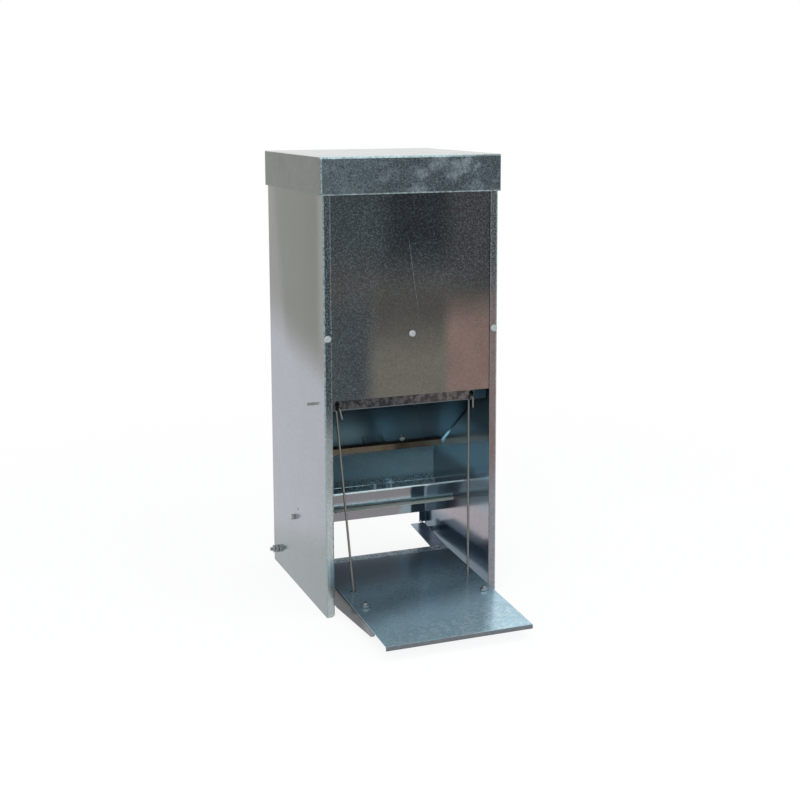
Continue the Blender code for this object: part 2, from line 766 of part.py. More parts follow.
def flap():
    """The flap: a strip in front that the rods pull on, the plane, and a lip at the rear."""
    strip_foot = STRIP_BOTTOM_Z - PIVOT_Z
    folds = [
        (-STRIP_AHEAD, strip_foot),
        (-STRIP_AHEAD, flap_middle(-STRIP_AHEAD)),
        (FLAP_REACH, flap_middle(FLAP_REACH)),
        (FLAP_REACH, flap_middle(FLAP_REACH) - FLAP_LIP),
    ]
    mesh = folded_sheet("flap", rounded(folds, BEND), -FLAP_HALF, FLAP_HALF, "X")
    made = add("flap", mesh, flap_axis, ZINC_DARK)
    slope_angle = math.degrees(-FLAP_TILT)
    ear = [(-EAR_SPREAD, flap_middle(-EAR_SPREAD))]
    ear += arc((0, 0), EAR_RADIUS, 180 - slope_angle, -slope_angle, 8)
    ear += [(EAR_SPREAD, flap_middle(EAR_SPREAD))]
    for side in (-1, 1):
        x = side * (FLAP_HALF - EAR_INSET - SHEET / 2)
        join(made, plate_mesh("flap_ear", ear, SHEET, side_plane(x)))
    for side in (-1, 1):
        hole(made, (side * FLAP_HALF, 0, 0), PIVOT_ROD_RADIUS + RUNNING, 4 * SHEET, "X", 16)
        hook_hole = (side * HOOK_X, -STRIP_AHEAD, HOOK_HOLE_Z - PIVOT_Z)
        hole(made, hook_hole, HOOK_HOLE_RADIUS, 3 * SHEET, "Y", 20)
    reach = 4 * SHEET
    drill = cylinder_mesh("weight_hole", WEIGHT_SCREW_RADIUS + GAP, -reach, reach, "Z", 16)
    drill.transform(Matrix.Rotation(FLAP_TILT, 4, "X"))
    back_of_pivot = WEIGHT_Y - PIVOT_Y
    cut(made, drill, (WEIGHT_SCREW_X, back_of_pivot, flap_middle(back_of_pivot)))


def counterweight():
    """A flat bar on the flap, held by one screw with its nut below the flap."""
    back_of_pivot = WEIGHT_Y - PIVOT_Y
    seat = empty("weight_seat", (0, back_of_pivot, flap_middle(back_of_pivot)), flap_axis, FLAP_TILT)
    foot = SHEET / 2 + GAP
    low = (-WEIGHT_LENGTH / 2, -WEIGHT_DEPTH / 2, foot)
    high = (WEIGHT_LENGTH / 2, WEIGHT_DEPTH / 2, foot + WEIGHT_HEIGHT)
    bar = add("counterweight", box_mesh("counterweight", low, high), seat, RAW_STEEL)
    hole(bar, (WEIGHT_SCREW_X, 0, 0), WEIGHT_SCREW_RADIUS + GAP, 2 * WEIGHT_HEIGHT, "Z", 16)
    grip = WEIGHT_HEIGHT + SHEET + 3 * GAP
    dome_screw(
        "counterweight_screw",
        seat,
        (WEIGHT_SCREW_X, 0, foot + WEIGHT_HEIGHT + GAP),
        WEIGHT_HEAD_RADIUS,
        WEIGHT_HEAD_HEIGHT,
        WEIGHT_SCREW_RADIUS,
        grip + WEIGHT_NUT_HEIGHT + WEIGHT_TIP,
        "-Z",
    )
    nut(
        "counterweight_nut",
        seat,
        (WEIGHT_SCREW_X, 0, -foot),
        WEIGHT_NUT_FLATS,
        WEIGHT_NUT_HEIGHT,
        WEIGHT_SCREW_RADIUS,
        "-Z",
    )


flap()
counterweight()


# Treadle: modelled level, ahead of its pivot along -Y
def rod_slot(target, side):
    """The slot that a pull rod passes, through the plate and through the arm below it."""
    half = SLOT_DEPTH / 2
    ends = SLOT_WIDTH / 2 - half
    outline = arc((ends, 0), half, -90, 90, 6) + arc((-ends, 0), half, 90, 270, 6)
    slot = plate_mesh("slot", outline, 4 * (SHEET + ARM_SHEET), Matrix.Identity(4))
    cut(target, slot, (side * SLOT_X, -SLOT_FORWARD, PLATE_UP - SHEET))


def treadle_plate():
    """The plate that a bird steps on, with a lip in front and slots for the pull rods."""
    top = PLATE_UP - SHEET / 2
    nose = -PLATE_FRONT + SHEET / 2
    folds = [(nose, PLATE_UP - PLATE_LIP), (nose, top), (-PLATE_REAR, top)]
    mesh = folded_sheet("treadle_plate", rounded(folds, BEND), -PLATE_HALF_WIDTH, PLATE_HALF_WIDTH, "X")
    plate = add("treadle_plate", mesh, treadle_axis, ZINC_SHEET)
    for side in (-1, 1):
        rod_slot(plate, side)
        bolt_at = (side * ARM_BOLT_X, -ARM_BOLT_FORWARD, top)
        hole(plate, bolt_at, ARM_BOLT_RADIUS + GAP, 3 * SHEET, "Z", 20)
    return plate


ARM_TOP = PLATE_UP - SHEET - GAP
ARM_SPLAY = (ARM_PIVOT_X - ARM_FRONT_X) / ARM_KNEE


def arm_outer_x(forward):
    """Outer face of the arm's web: straight in front, splayed behind the knee."""
    return ARM_FRONT_X + ARM_SPLAY * max(0, ARM_KNEE - forward)


def lever_arm(name, side):
    """An angle section: a leg under the plate and a web that tapers to a nose."""
    web_foot = {
        -ARM_TAIL: PLATE_UP - ARM_DEEP,
        ARM_KNEE: PLATE_UP - ARM_DEEP,
        ARM_DEEP_END: PLATE_UP - ARM_DEEP,
        ARM_NOSE: PLATE_UP - ARM_NOSE_DEPTH,
        ARM_TIP: PLATE_UP - ARM_TIP_DEPTH,
    }
    body = bmesh.new()
    rows = []
    for forward, foot in web_foot.items():
        outer = arm_outer_x(forward)
        corner_x, corner_z = outer - ARM_SHEET / 2, ARM_TOP - ARM_SHEET / 2
        section = rounded([(outer - ARM_TOP_WIDTH, corner_z), (corner_x, corner_z), (corner_x, foot)], BEND)
        rows.append([body.verts.new((side * x, -forward, z)) for x, z in section])
    for row, following in zip(rows, rows[1:]):
        for a, b, c, d in zip(row, row[1:], following[1:], following):
            body.faces.new((a, b, c, d))
    mesh = thick_mesh(name, mesh_of(name, body), ARM_SHEET)
    arm = add(name, mesh, treadle_axis, ZINC_SHEET)
    hole(arm, (side * ARM_PIVOT_X, 0, 0), BOLT_RADIUS + RUNNING, 6 * SHEET, "X", 20)
    hole(arm, (side * ARM_BOLT_X, -ARM_BOLT_FORWARD, ARM_TOP), ARM_BOLT_RADIUS + GAP, 4 * SHEET, "Z", 20)
    rod_slot(arm, side)
    near, far = ARM_PIVOT_X - 2 * ARM_TOP_WIDTH, ARM_PIVOT_X + 4 * SHEET
    low = (min(side * near, side * far), -ARM_TOP_END, ARM_TOP - ARM_SHEET - BEND)
    high = (max(side * near, side * far), 2 * ARM_TAIL, ARM_TOP + SHEET)
    cut(arm, box_mesh("arm_end", low, high))
    return arm


def arm_fasteners(place, side):
    """The bolt that holds an arm to the plate, from below, and its nut on top."""
    x, y = side * ARM_BOLT_X, -ARM_BOLT_FORWARD
    under = ARM_TOP - ARM_SHEET - GAP
    grip = PLATE_UP + GAP - under
    hex_bolt(
        f"arm_bolt_{place}",
        treadle_axis,
        (x, y, under),
        ARM_NUT_FLATS,
        ARM_HEAD_HEIGHT,
        ARM_BOLT_RADIUS,
        grip + ARM_NUT_HEIGHT + ARM_BOLT_TIP,
        "Z",
    )
    seat = (x, y, PLATE_UP + GAP)
    nut(f"arm_nut_{place}", treadle_axis, seat, ARM_NUT_FLATS, ARM_NUT_HEIGHT, ARM_BOLT_RADIUS, "Z")


def treadle_bearing(place, side):
    """The bolt an arm turns on, its spacer inside the side sheet, and two nuts outside."""
    axis = "X" if side > 0 else "-X"
    at = TREADLE_PIVOT
    head_gap = GAP + ARM_SPLAY * BOLT_FLATS / math.sqrt(3)
    seat = ARM_PIVOT_X - ARM_SHEET - head_gap
    hex_bolt(
        f"treadle_bolt_{place}",
        feeder,
        (side * seat, at.y, at.z),
        BOLT_FLATS,
        BOLT_CAP_HEIGHT,
        BOLT_RADIUS,
        HALF + BOLT_OUT - seat,
        axis,
    )
    first = ARM_PIVOT_X + GAP + ARM_SPLAY * SPACER_RADIUS
    last = INSIDE - GAP
    tube = cylinder_mesh(f"treadle_spacer_{place}", SPACER_RADIUS, 0, last - first, axis, 24)
    smooth(tube)
    spacer = add(f"treadle_spacer_{place}", tube, feeder, ZINC_BRIGHT, (side * first, at.y, at.z))
    hole(spacer, (0, 0, 0), BOLT_RADIUS + GAP, 2 * (last - first), "X", 20)
    outside = HALF + GAP
    nut(
        f"treadle_nut_{place}",
        feeder,
        (side * outside, at.y, at.z),
        BOLT_FLATS,
        BOLT_NUT_HEIGHT,
        BOLT_RADIUS,
        axis,
    )
    outside += BOLT_NUT_HEIGHT + GAP
    nut(
        f"treadle_lock_nut_{place}",
        feeder,
        (side * outside, at.y, at.z),
        BOLT_FLATS,
        LOCK_NUT_HEIGHT,
        BOLT_RADIUS,
        axis,
        turn=math.radians(30),
    )


def pull_rod(name, side, foot_x, hook_lean):
    """The wire from the flap's strip down through the treadle, hooked at both ends."""
    foot = treadle_to_housing(SLOT_FORWARD, PLATE_UP - SHEET / 2)
    foot.x = side * foot_x
    bow_centre = Vector((STRIP_Y, HOOK_Z - HOOK_RADIUS))
    fall = Vector((foot.y, foot.z)) - bow_centre
    lean = math.asin(HOOK_RADIUS / fall.length) - math.atan2(-fall.x, -fall.y)
    bow = arc(bow_centre, HOOK_RADIUS, 180, math.degrees(lean), 12)
    down = (Vector((foot.y, foot.z)) - Vector(bow[-1])).normalized()
    sink = SHEET / 2 + ARM_SHEET + 3 * GAP + WIRE_RADIUS
    corner = Vector((foot.y, foot.z)) + down * sink
    ahead = Vector((-math.cos(TREADLE_PRESSED), -math.sin(TREADLE_PRESSED)))
    leg = rounded([bow[-1], corner, corner + ahead * FOOT_LENGTH], FOOT_RADIUS, 5)
    tip = (STRIP_Y - HOOK_RADIUS, HOOK_TIP_Z)
    line = [Vector(tip)] + [Vector(point) for point in bow] + leg[1:]
    hook_x = side * HOOK_X
    points = []
    for index, (y, z) in enumerate(line):
        if y < STRIP_Y and index < len(bow) // 2:
            share = (HOOK_Z - z) / (HOOK_Z - HOOK_TIP_Z)
            x = hook_x - side * hook_lean * share
        else:
            share = min(1, max(0, (HOOK_Z - z) / (HOOK_Z - foot.z)))
            x = hook_x + (foot.x - hook_x) * share
        points.append(Vector((x, y, z)) - foot)
    mesh = wire_mesh(name, points, WIRE_RADIUS)
    smooth(mesh, 60)
    return add(name, mesh, feeder, WIRE_STEEL, foot)


def wire_mesh(name, points, radius):
    """A round wire along the points, with closed ends."""
    curve = bpy.data.curves.new(name, "CURVE")
    curve.dimensions = "3D"
    curve.bevel_depth = radius
    curve.bevel_resolution = 2
    curve.use_fill_caps = True
    spline = curve.splines.new("POLY")
    spline.points.add(len(points) - 1)
    for point, place in zip(spline.points, points):
        point.co = (*place, 1)
    carrier = bpy.data.objects.new(name + "_line", curve)
    bpy.context.scene.collection.objects.link(carrier)
    mesh = evaluated_mesh(carrier)
    body = bmesh.new()
    body.from_mesh(mesh)
    bmesh.ops.remove_doubles(body, verts=body.verts, dist=0.00001)
    return mesh_of(name, body)


treadle_plate()
for place, side in (("left", -1), ("right", 1)):
    lever_arm(f"lever_arm_{place}", side)
    arm_fasteners(place, side)
    treadle_bearing(place, side)
pull_rod("pull_rod_left", -1, ROD_FOOT_LEFT_X, HOOK_LEAN_LEFT)
pull_rod("pull_rod_right", 1, ROD_FOOT_RIGHT_X, HOOK_LEAN_RIGHT)
trough_studs()
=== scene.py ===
# %% [markdown]
# # A treadle feeder of galvanised sheet
#
# The feeder is a hopper of thin galvanised steel with a lift-off lid. A bird steps on the treadle
# in front, two wire rods pull on the flap, and the flap opens the trough. The CAD model already
# gives every sheet, screw and rod its place. This lesson dresses that frame: it softens the cut
# edges, cuts real threads, and gives each sheet the grain and scratches of zinc and broad tones,
# which are mostly painted reflections, painted shade and painted highlights.

import json
import math

import bmesh
import bpy
from mathutils import Matrix, Vector


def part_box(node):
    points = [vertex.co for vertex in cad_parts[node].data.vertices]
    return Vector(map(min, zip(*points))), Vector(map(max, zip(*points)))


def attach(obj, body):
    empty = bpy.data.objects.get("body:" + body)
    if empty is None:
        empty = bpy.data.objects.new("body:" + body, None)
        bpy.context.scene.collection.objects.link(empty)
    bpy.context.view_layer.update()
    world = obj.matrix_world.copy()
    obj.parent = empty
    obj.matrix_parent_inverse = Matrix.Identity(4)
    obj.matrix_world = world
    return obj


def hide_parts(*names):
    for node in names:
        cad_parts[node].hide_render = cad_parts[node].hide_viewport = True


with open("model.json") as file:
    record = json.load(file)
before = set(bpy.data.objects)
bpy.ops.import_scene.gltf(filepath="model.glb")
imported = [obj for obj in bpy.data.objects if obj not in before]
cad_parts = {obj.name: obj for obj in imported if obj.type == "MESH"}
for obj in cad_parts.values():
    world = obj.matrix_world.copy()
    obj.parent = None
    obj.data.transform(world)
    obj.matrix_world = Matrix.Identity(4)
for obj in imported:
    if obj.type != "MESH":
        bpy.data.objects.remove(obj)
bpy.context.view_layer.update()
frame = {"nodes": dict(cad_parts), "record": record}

# %% [markdown]
# ## The camera
#
# The photograph was taken from the front left, a little above the lid. A camera matrix can be
# built from a yaw and a pitch: one vector looks ahead, one points right, and their cross product
# points up. A small downward shift keeps the feeder in the frame as the photographer cropped it.

# %% Place the camera
CAMERA_AT = Vector((-0.655415, -1.702864, 0.687727))
YAW, PITCH, ROLL = 0.36791, 0.148241, -0.003487
IMAGE_PIXELS, FOCAL_PIXELS, CENTRE_ROW = 800, 1344.83, 304
SENSOR = 36.0

level = math.cos(PITCH)
ahead = Vector((math.sin(YAW) * level, math.cos(YAW) * level, -math.sin(PITCH)))
right = Vector((math.cos(YAW), -math.sin(YAW), 0))
turn = Matrix((right, right.cross(ahead), -ahead)).transposed() @ Matrix.Rotation(ROLL, 3, "Z")
camera = bpy.data.objects.new("camera", bpy.data.cameras.new("camera"))
bpy.context.scene.collection.objects.link(camera)
camera.matrix_world = Matrix.Translation(CAMERA_AT) @ turn.to_4x4()
camera.data.sensor_width = SENSOR
camera.data.lens = SENSOR * FOCAL_PIXELS / IMAGE_PIXELS
camera.data.shift_y = (CENTRE_ROW - IMAGE_PIXELS / 2) / IMAGE_PIXELS
bpy.context.scene.camera = camera
print("lens", round(camera.data.lens, 2), "mm, shift", camera.data.shift_y)

# %% [markdown]
# ## Shader maths in Python
#
# A node tree is easier to read as arithmetic. `Value` wraps a socket and overloads the operators,
# so that `1 - mask` adds a Math node. Every other node comes from `Finish.node`, which takes the
# node's type, its settings and its sockets. Colours go through Mix and Vector Math nodes instead,
# because a Math node would turn them grey.

# %% A socket that does arithmetic
class Value:
    """A socket of a finish, with Python's arithmetic on it."""

    def __init__(self, finish, socket):
        self.finish = finish
        self.socket = socket

    def maths(self, operation, *values):
        """A Math node on these values."""
        return self.finish.node("ShaderNodeMath", {"operation": operation}, dict(enumerate(values)))

    def __add__(self, other):
        return self.maths("ADD", self, other)

    def __sub__(self, other):
        return self.maths("SUBTRACT", self, other)

    def __rsub__(self, other):
        return self.maths("SUBTRACT", other, self)

    def __mul__(self, other):
        return self.maths("MULTIPLY", self, other)

    def __abs__(self):
        return self.maths("ABSOLUTE", self)

    __radd__ = __add__


print("values can be added, subtracted and multiplied")


# %% A finish: one material built from expressions
def tone(red, green, blue):
    """A colour as it looks on a screen, 0 to 255, made linear for the shader."""
    linear = [((c / 255 + 0.055) / 1.055) ** 2.4 for c in (red, green, blue)]
    return (*linear, 1.0)


class Finish:
    """A material with a Principled shader, whose nodes are written as expressions."""

    def __init__(self, name):
        self.material = bpy.data.materials.new(name)
        self.material.use_nodes = True
        self.tree = self.material.node_tree
        self.shader = self.tree.nodes["Principled BSDF"]
        self.place = self.node("ShaderNodeTexCoord", out="Object")
        self.x = self.node("ShaderNodeSeparateXYZ", {}, {0: self.place}, "X")
        self.y = Value(self, self.x.socket.node.outputs["Y"])
        self.z = Value(self, self.x.socket.node.outputs["Z"])

    def node(self, kind, settings=None, sockets=None, out=0):
        """Adds a node, sets its settings, then its sockets, and returns one of its outputs."""
        made = self.tree.nodes.new(kind)
        for key, value in (settings or {}).items():
            setattr(made, key, value)
        for key, value in (sockets or {}).items():
            if isinstance(value, Value):
                self.tree.links.new(value.socket, made.inputs[key])
            else:
                socket = made.inputs[key]
                socket.default_value = value[:3] if socket.type == "VECTOR" else value
        return Value(self, made.outputs[out])

    def set(self, **sockets):
        """Sets sockets of the shader. An underscore in a name stands for a space."""
        for key, value in sockets.items():
            socket = self.shader.inputs[key.replace("_", " ")]
            if isinstance(value, Value):
                self.tree.links.new(value.socket, socket)
            else:
                socket.default_value = value

    def stretched(self, stretch, shift=(0, 0, 0), turn=(0, 0, 0)):
        """The place on the piece with each axis stretched, so that a pattern gets a grain."""
        sockets = {"Vector": self.place, "Scale": stretch, "Location": shift, "Rotation": turn}
        return self.node("ShaderNodeMapping", {"vector_type": "POINT"}, sockets)

    def noise(self, scale, detail, where=None, rough=0.5):
        """Soft noise from 0 to 1, with so many bumps in a metre."""
        sockets = {"Vector": where or self.place, "Scale": scale}
        sockets.update({"Detail": detail, "Roughness": rough})
        return self.node("ShaderNodeTexNoise", {}, sockets, "Fac")

    def cells(self, scale):
        """A grey value from 0 to 1 for each crystal of the zinc."""
        sockets = {"Vector": self.place, "Scale": scale}
        colour = self.node("ShaderNodeTexVoronoi", {}, sockets, "Color")
        return self.node("ShaderNodeSeparateColor", {}, {0: colour}, "Red")

    def between(self, value, low, high):
        """0 below low and 1 above high, with a smooth step. Low may be the larger one."""
        sockets = {"Value": value, "From Min": low, "From Max": high}
        return self.node("ShaderNodeMapRange", {"interpolation_type": "SMOOTHSTEP"}, sockets)

    def mix(self, first, second, share):
        """A colour between two others."""
        sockets = {0: share, 6: first, 7: second}
        return self.node("ShaderNodeMix", {"data_type": "RGBA"}, sockets, 2)

    def shade(self, colour, share):
        """A colour made lighter or darker."""
        sockets = {"Vector": colour, "Scale": share}
        return self.node("ShaderNodeVectorMath", {"operation": "SCALE"}, sockets)

    def bump(self, height, distance, strength):
        """A normal that follows a height, whose full range stands so many metres proud."""
        sockets = {"Height": height, "Distance": distance, "Strength": strength}
        return self.node("ShaderNodeBump", {}, sockets)


print("a screen's grey of 128 is", round(tone(128, 128, 128)[0], 3), "in the shader")

# %% [markdown]
# ## Floor, backdrop and light
#
# The photograph is cut out on white. The world is white where the camera or a reflection sees it
# and a soft grey for everything else. The floor does the same with its own Light Path node, but
# keeps a share of plain diffuse near the feeder, which holds its shadow, and fades to the white
# of the world.

# %% World
AMBIENT = (0.55, 0.57, 0.60)
WHITE = (1.0, 1.0, 1.0, 1.0)


def seen_directly(tree):
    """1 for camera, glossy and transmission rays, as a chain of Math nodes."""
    path = tree.nodes.new("ShaderNodeLightPath")
    total = path.outputs["Is Camera Ray"]
    for name in ("Is Glossy Ray", "Is Transmission Ray"):
        add = tree.nodes.new("ShaderNodeMath")
        add.operation = "MAXIMUM"
        tree.links.new(total, add.inputs[0])
        tree.links.new(path.outputs[name], add.inputs[1])
        total = add.outputs[0]
    return total


def world_light(ambient):
    """White where it is seen, and the ambient colour where it lights."""
    world = bpy.data.worlds.new("studio")
    bpy.context.scene.world = world
    world.use_nodes = True
    tree = world.node_tree
    colour = tree.nodes.new("ShaderNodeMix")
    colour.data_type = "RGBA"
    colour.inputs[6].default_value = (*ambient, 1.0)
    colour.inputs[7].default_value = WHITE
    tree.links.new(seen_directly(tree), colour.inputs[0])
    tree.links.new(colour.outputs[2], tree.nodes["Background"].inputs["Color"])


world_light(AMBIENT)
bpy.context.scene.view_settings.view_transform = "Standard"
print("the world lights with", AMBIENT)

# %% Floor
FLOOR_RADIUS, FLOOR_DROP = 4.0, 0.0005
FLOOR_GREY = (0.9, 0.9, 0.9, 1.0)
FADE_FROM, FADE_TO = 0.3, 1.6  # distance from the feeder where its shadow's share fades
SHADOW_SHARE = 0.12


def floor_piece(radius, near, far):
    """A round floor, whose diffuse share falls to nothing between two distances."""
    shape = bmesh.new()
    bmesh.ops.create_circle(shape, cap_ends=True, segments=96, radius=radius)
    bmesh.ops.translate(shape, vec=(0, 0, -FLOOR_DROP), verts=shape.verts)
    mesh = bpy.data.meshes.new("floor")
    shape.to_mesh(mesh)
    shape.free()
    floor = bpy.data.objects.new("floor", mesh)
    bpy.context.scene.collection.objects.link(floor)
    finish = Finish("floor_white")
    finish.set(Base_Color=FLOOR_GREY, Roughness=0.9)
    away = finish.node("ShaderNodeVectorMath", {"operation": "LENGTH"}, {0: finish.place}, "Value")
    white = finish.between(away, near, far) * SHADOW_SHARE + (1 - SHADOW_SHARE)
    direct = Value(finish, seen_directly(finish.tree))
    glow = finish.node("ShaderNodeEmission", {}, {"Color": WHITE})
    surface = Value(finish, finish.shader.outputs[0])
    both = finish.node("ShaderNodeMixShader", {}, {0: white * direct, 1: surface, 2: glow})
    out = finish.tree.nodes["Material Output"].inputs["Surface"]
    finish.tree.links.new(both.socket, out)
    mesh.materials.append(finish.material)


floor_piece(FLOOR_RADIUS, FADE_FROM, FADE_TO)
print("the floor is", FLOOR_RADIUS * 2, "m across")

# %% [markdown]
# ## Soft boxes
#
# Large lamps give metal gentle highlights. The key lamp stands at the front left, the fill at the
# right, and one lamp hangs above. These three light the feeder but don't show in reflections,
# because the tones of each sheet already hold what the real one mirrors. The small glint lamp
# does show in them, and gives the screws and wires their highlights. The camera sees none of the
# four.

# %% Lamps
def soft_box(name, at, size, power, mirrored):
    """A rectangular lamp aimed at the middle of the feeder."""
    lamp = bpy.data.lights.new(name, "AREA")
    lamp.shape = "RECTANGLE"
    lamp.size, lamp.size_y = size
    lamp.energy = power
    box = bpy.data.objects.new(name, lamp)
    bpy.context.scene.collection.objects.link(box)
    box.visible_camera = False
    box.visible_glossy = mirrored
    aim = (Vector(MIDDLE) - Vector(at)).to_track_quat("-Z", "Y")
    box.matrix_world = Matrix.Translation(at) @ aim.to_matrix().to_4x4()


MIDDLE = (0, 0, 0.3)
LAMPS = {
    "key": ((-1.2, -2.2, 1.3), (1.4, 1.4), 30, False),
    "glint": ((-2.0, -1.8, 2.4), (0.6, 0.6), 5, True),
    "fill": ((1.7, -1.5, 1.1), (1.4, 1.6), 10, False),
    "top": ((0.0, -0.3, 2.4), (1.8, 1.8), 24, False),
}
for name, settings in LAMPS.items():
    soft_box(name, *settings)
print(len(LAMPS), "lamps")

# %% [markdown]
# ## The zinc of a sheet
#
# Hot-dip zinc is never one grey. It has crystals a few millimetres wide, cloudy patches where it
# cooled unevenly, pin-point specks and fine rolling scratches. Each sheet of this feeder also shows
# broad tones, mostly painted reflections, shade and highlights, so every finish starts from a paint
# function, which says how the tone changes over the piece, and `zinc` lays the small detail over
# it.

# %% The zinc function
# How many grains, crystals, clouds, specks, changes of sheen, waves or pits there are in a metre.
PEPPER, CRYSTALS, CLOUDS, SPECKS, SHEEN, WAVES, PITS = 400, 210, 26, 620, 60, 9, 500
ROLLED_GRAIN = (1300, 1300, 9)
RARE = (0.66, 0.80)  # noise rises this far in a few spots only
CRYSTAL_SHARE, LINE_SHARE, PIT_SHARE = 0.25, 0.2, 0.02
SHEEN_CHANGE, PEPPER_DULLS = 0.08, 0.05
WAVE_HEIGHT, WAVE_STRENGTH = 0.0012, 0.3


def zinc(name, paint, roughness, metallic=0.85, grain=0.5, cloud=0.3, speck=0.2):
    """Broad tones from paint, with pepper, crystals, clouds, specks and rolled lines over them."""
    f = Finish(name)
    colour = paint(f)
    pepper = (f.noise(PEPPER, 2) - 0.5) * (2 * grain)
    crystals = (f.cells(CRYSTALS) - 0.5) * (CRYSTAL_SHARE * grain)
    clouds = (f.noise(CLOUDS, 4) - 0.5) * cloud
    specks = f.between(f.noise(SPECKS, 1, f.stretched((1, 1, 1), (3, 5, 7))), *RARE) * (2 * speck)
    lines = f.between(f.noise(1.0, 2, f.stretched(ROLLED_GRAIN)), *RARE) * LINE_SHARE
    f.set(
        Base_Color=f.shade(colour, 1 + pepper + crystals + clouds + specks + lines),
        Metallic=metallic,
        Roughness=roughness + (f.noise(SHEEN, 3) - 0.5) * SHEEN_CHANGE + pepper * PEPPER_DULLS,
    )
    height = f.noise(WAVES, 1) + f.noise(PITS, 2) * PIT_SHARE * grain
    f.set(Normal=f.bump(height, WAVE_HEIGHT, WAVE_STRENGTH))
    return f.material


print("zinc has", CRYSTALS, "crystals in a metre")

# %% [markdown]
# ## Tones of each sheet
#
# A tone is placed by a plane or a band in metres. `between` gives the smooth step, and `mix` lays
# the next tone over the last. Most broad tones are painted reflections and painted shade. A painted
# picture could hold the same tones, but planes stay sharp at any size, and each can be moved by one
# number. A fold or a cut edge has its own broken band; the bright ones are painted highlights.

# %% Places on the housing
FRONT_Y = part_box("side_panel_left")[0].y
SIDE_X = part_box("side_panel_right")[1].x
LID_LOW, LID_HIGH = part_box("lid")
print("front at", round(FRONT_Y, 4), "and sides at", round(SIDE_X, 4))


def dotted(f, share):
    """A broken line's mask, for painted highlights and lines along edges, and for the scratch."""
    return f.between(f.noise(260, 2), 0.35, 0.60) * share + (1 - share)


# %% [markdown]
# ### The side sheets
#
# Each side sheet is one bent sheet, with a flange at the front that shows beside the front sheet.
# One material serves both sheets, so the two flanges, the outside and the inside are told apart
# by their place. Their tones are painted reflections: the outside is olive above, pale below and
# darker at the foot, and the inside has bands of painted reflection and painted shade. The front
# fold has a painted highlight, and a painted dark spot stands for the shade in the punched hole.

# %% Tones inside the side sheets
# Heights where the painted bright reflection begins, and the painted dark band above it.
BRIGHT_FROM, DARK_FROM = (0.150, 0.172), (0.205, 0.240)


def inner_side_painted_light(f):
    """Painted reflections and shade: blue-grey at the foot, mauve and grey above, bright blue, then
    dark.
    """
    within = f.mix(tone(154, 147, 155), tone(144, 155, 163), f.between(f.z, 0.100, 0.118))
    within = f.mix(within, tone(186, 222, 240), f.between(f.z, *BRIGHT_FROM))
    within = f.mix(within, tone(92, 110, 120), f.between(f.z, *DARK_FROM))
    return f.mix(within, tone(90, 112, 127), f.between(f.z, 0.075, 0.045))


print("the inside is brightest from", BRIGHT_FROM[1], "to", DARK_FROM[0], "m")

# %% Tones of the two front flanges
LEFT_GRIT_FROM, RIGHT_GRIT_FROM = (0.22, 0.30), (0.38, 0.48)


def flange_tones(f):
    """Both dark and gritty above; below, painted reflections make the left pale and the right warm.
    """
    grit = f.between(f.noise(470, 2), 0.40, 0.62)
    dark = f.mix(tone(38, 45, 50), tone(84, 96, 101), grit)
    # Painted reflections below: pale on the left flange, warm on the right one.
    left = f.mix(tone(165, 172, 172), tone(138, 144, 144), f.between(f.z, 0.13, 0.20))
    left = f.mix(left, dark, f.between(f.z, *LEFT_GRIT_FROM))
    patch = f.between(f.z, 0.085, 0.070) * f.between(f.z, 0.030, 0.045)
    patch = patch * f.between(f.x, -0.1205, -0.1185)
    left = f.mix(left, tone(112, 134, 148), patch * 0.8)
    gritty = f.mix(tone(56, 60, 64), tone(100, 104, 106), grit)
    right = f.mix(tone(128, 127, 134), tone(118, 102, 101), f.between(f.z, 0.13, 0.21))
    right = f.mix(right, gritty, f.between(f.z, *RIGHT_GRIT_FROM))
    return f.mix(left, right, f.between(f.x, -0.01, 0.01))


print("the flanges turn gritty at", LEFT_GRIT_FROM[0], "and", RIGHT_GRIT_FROM[0], "m")

# %% Tones of the side sheets
PUNCH_HOLE = (0.0809, 0.1155)
PUNCH_SQUARED = (0.0000055, 0.0000028)  # the hole's squared radius, outer and inner


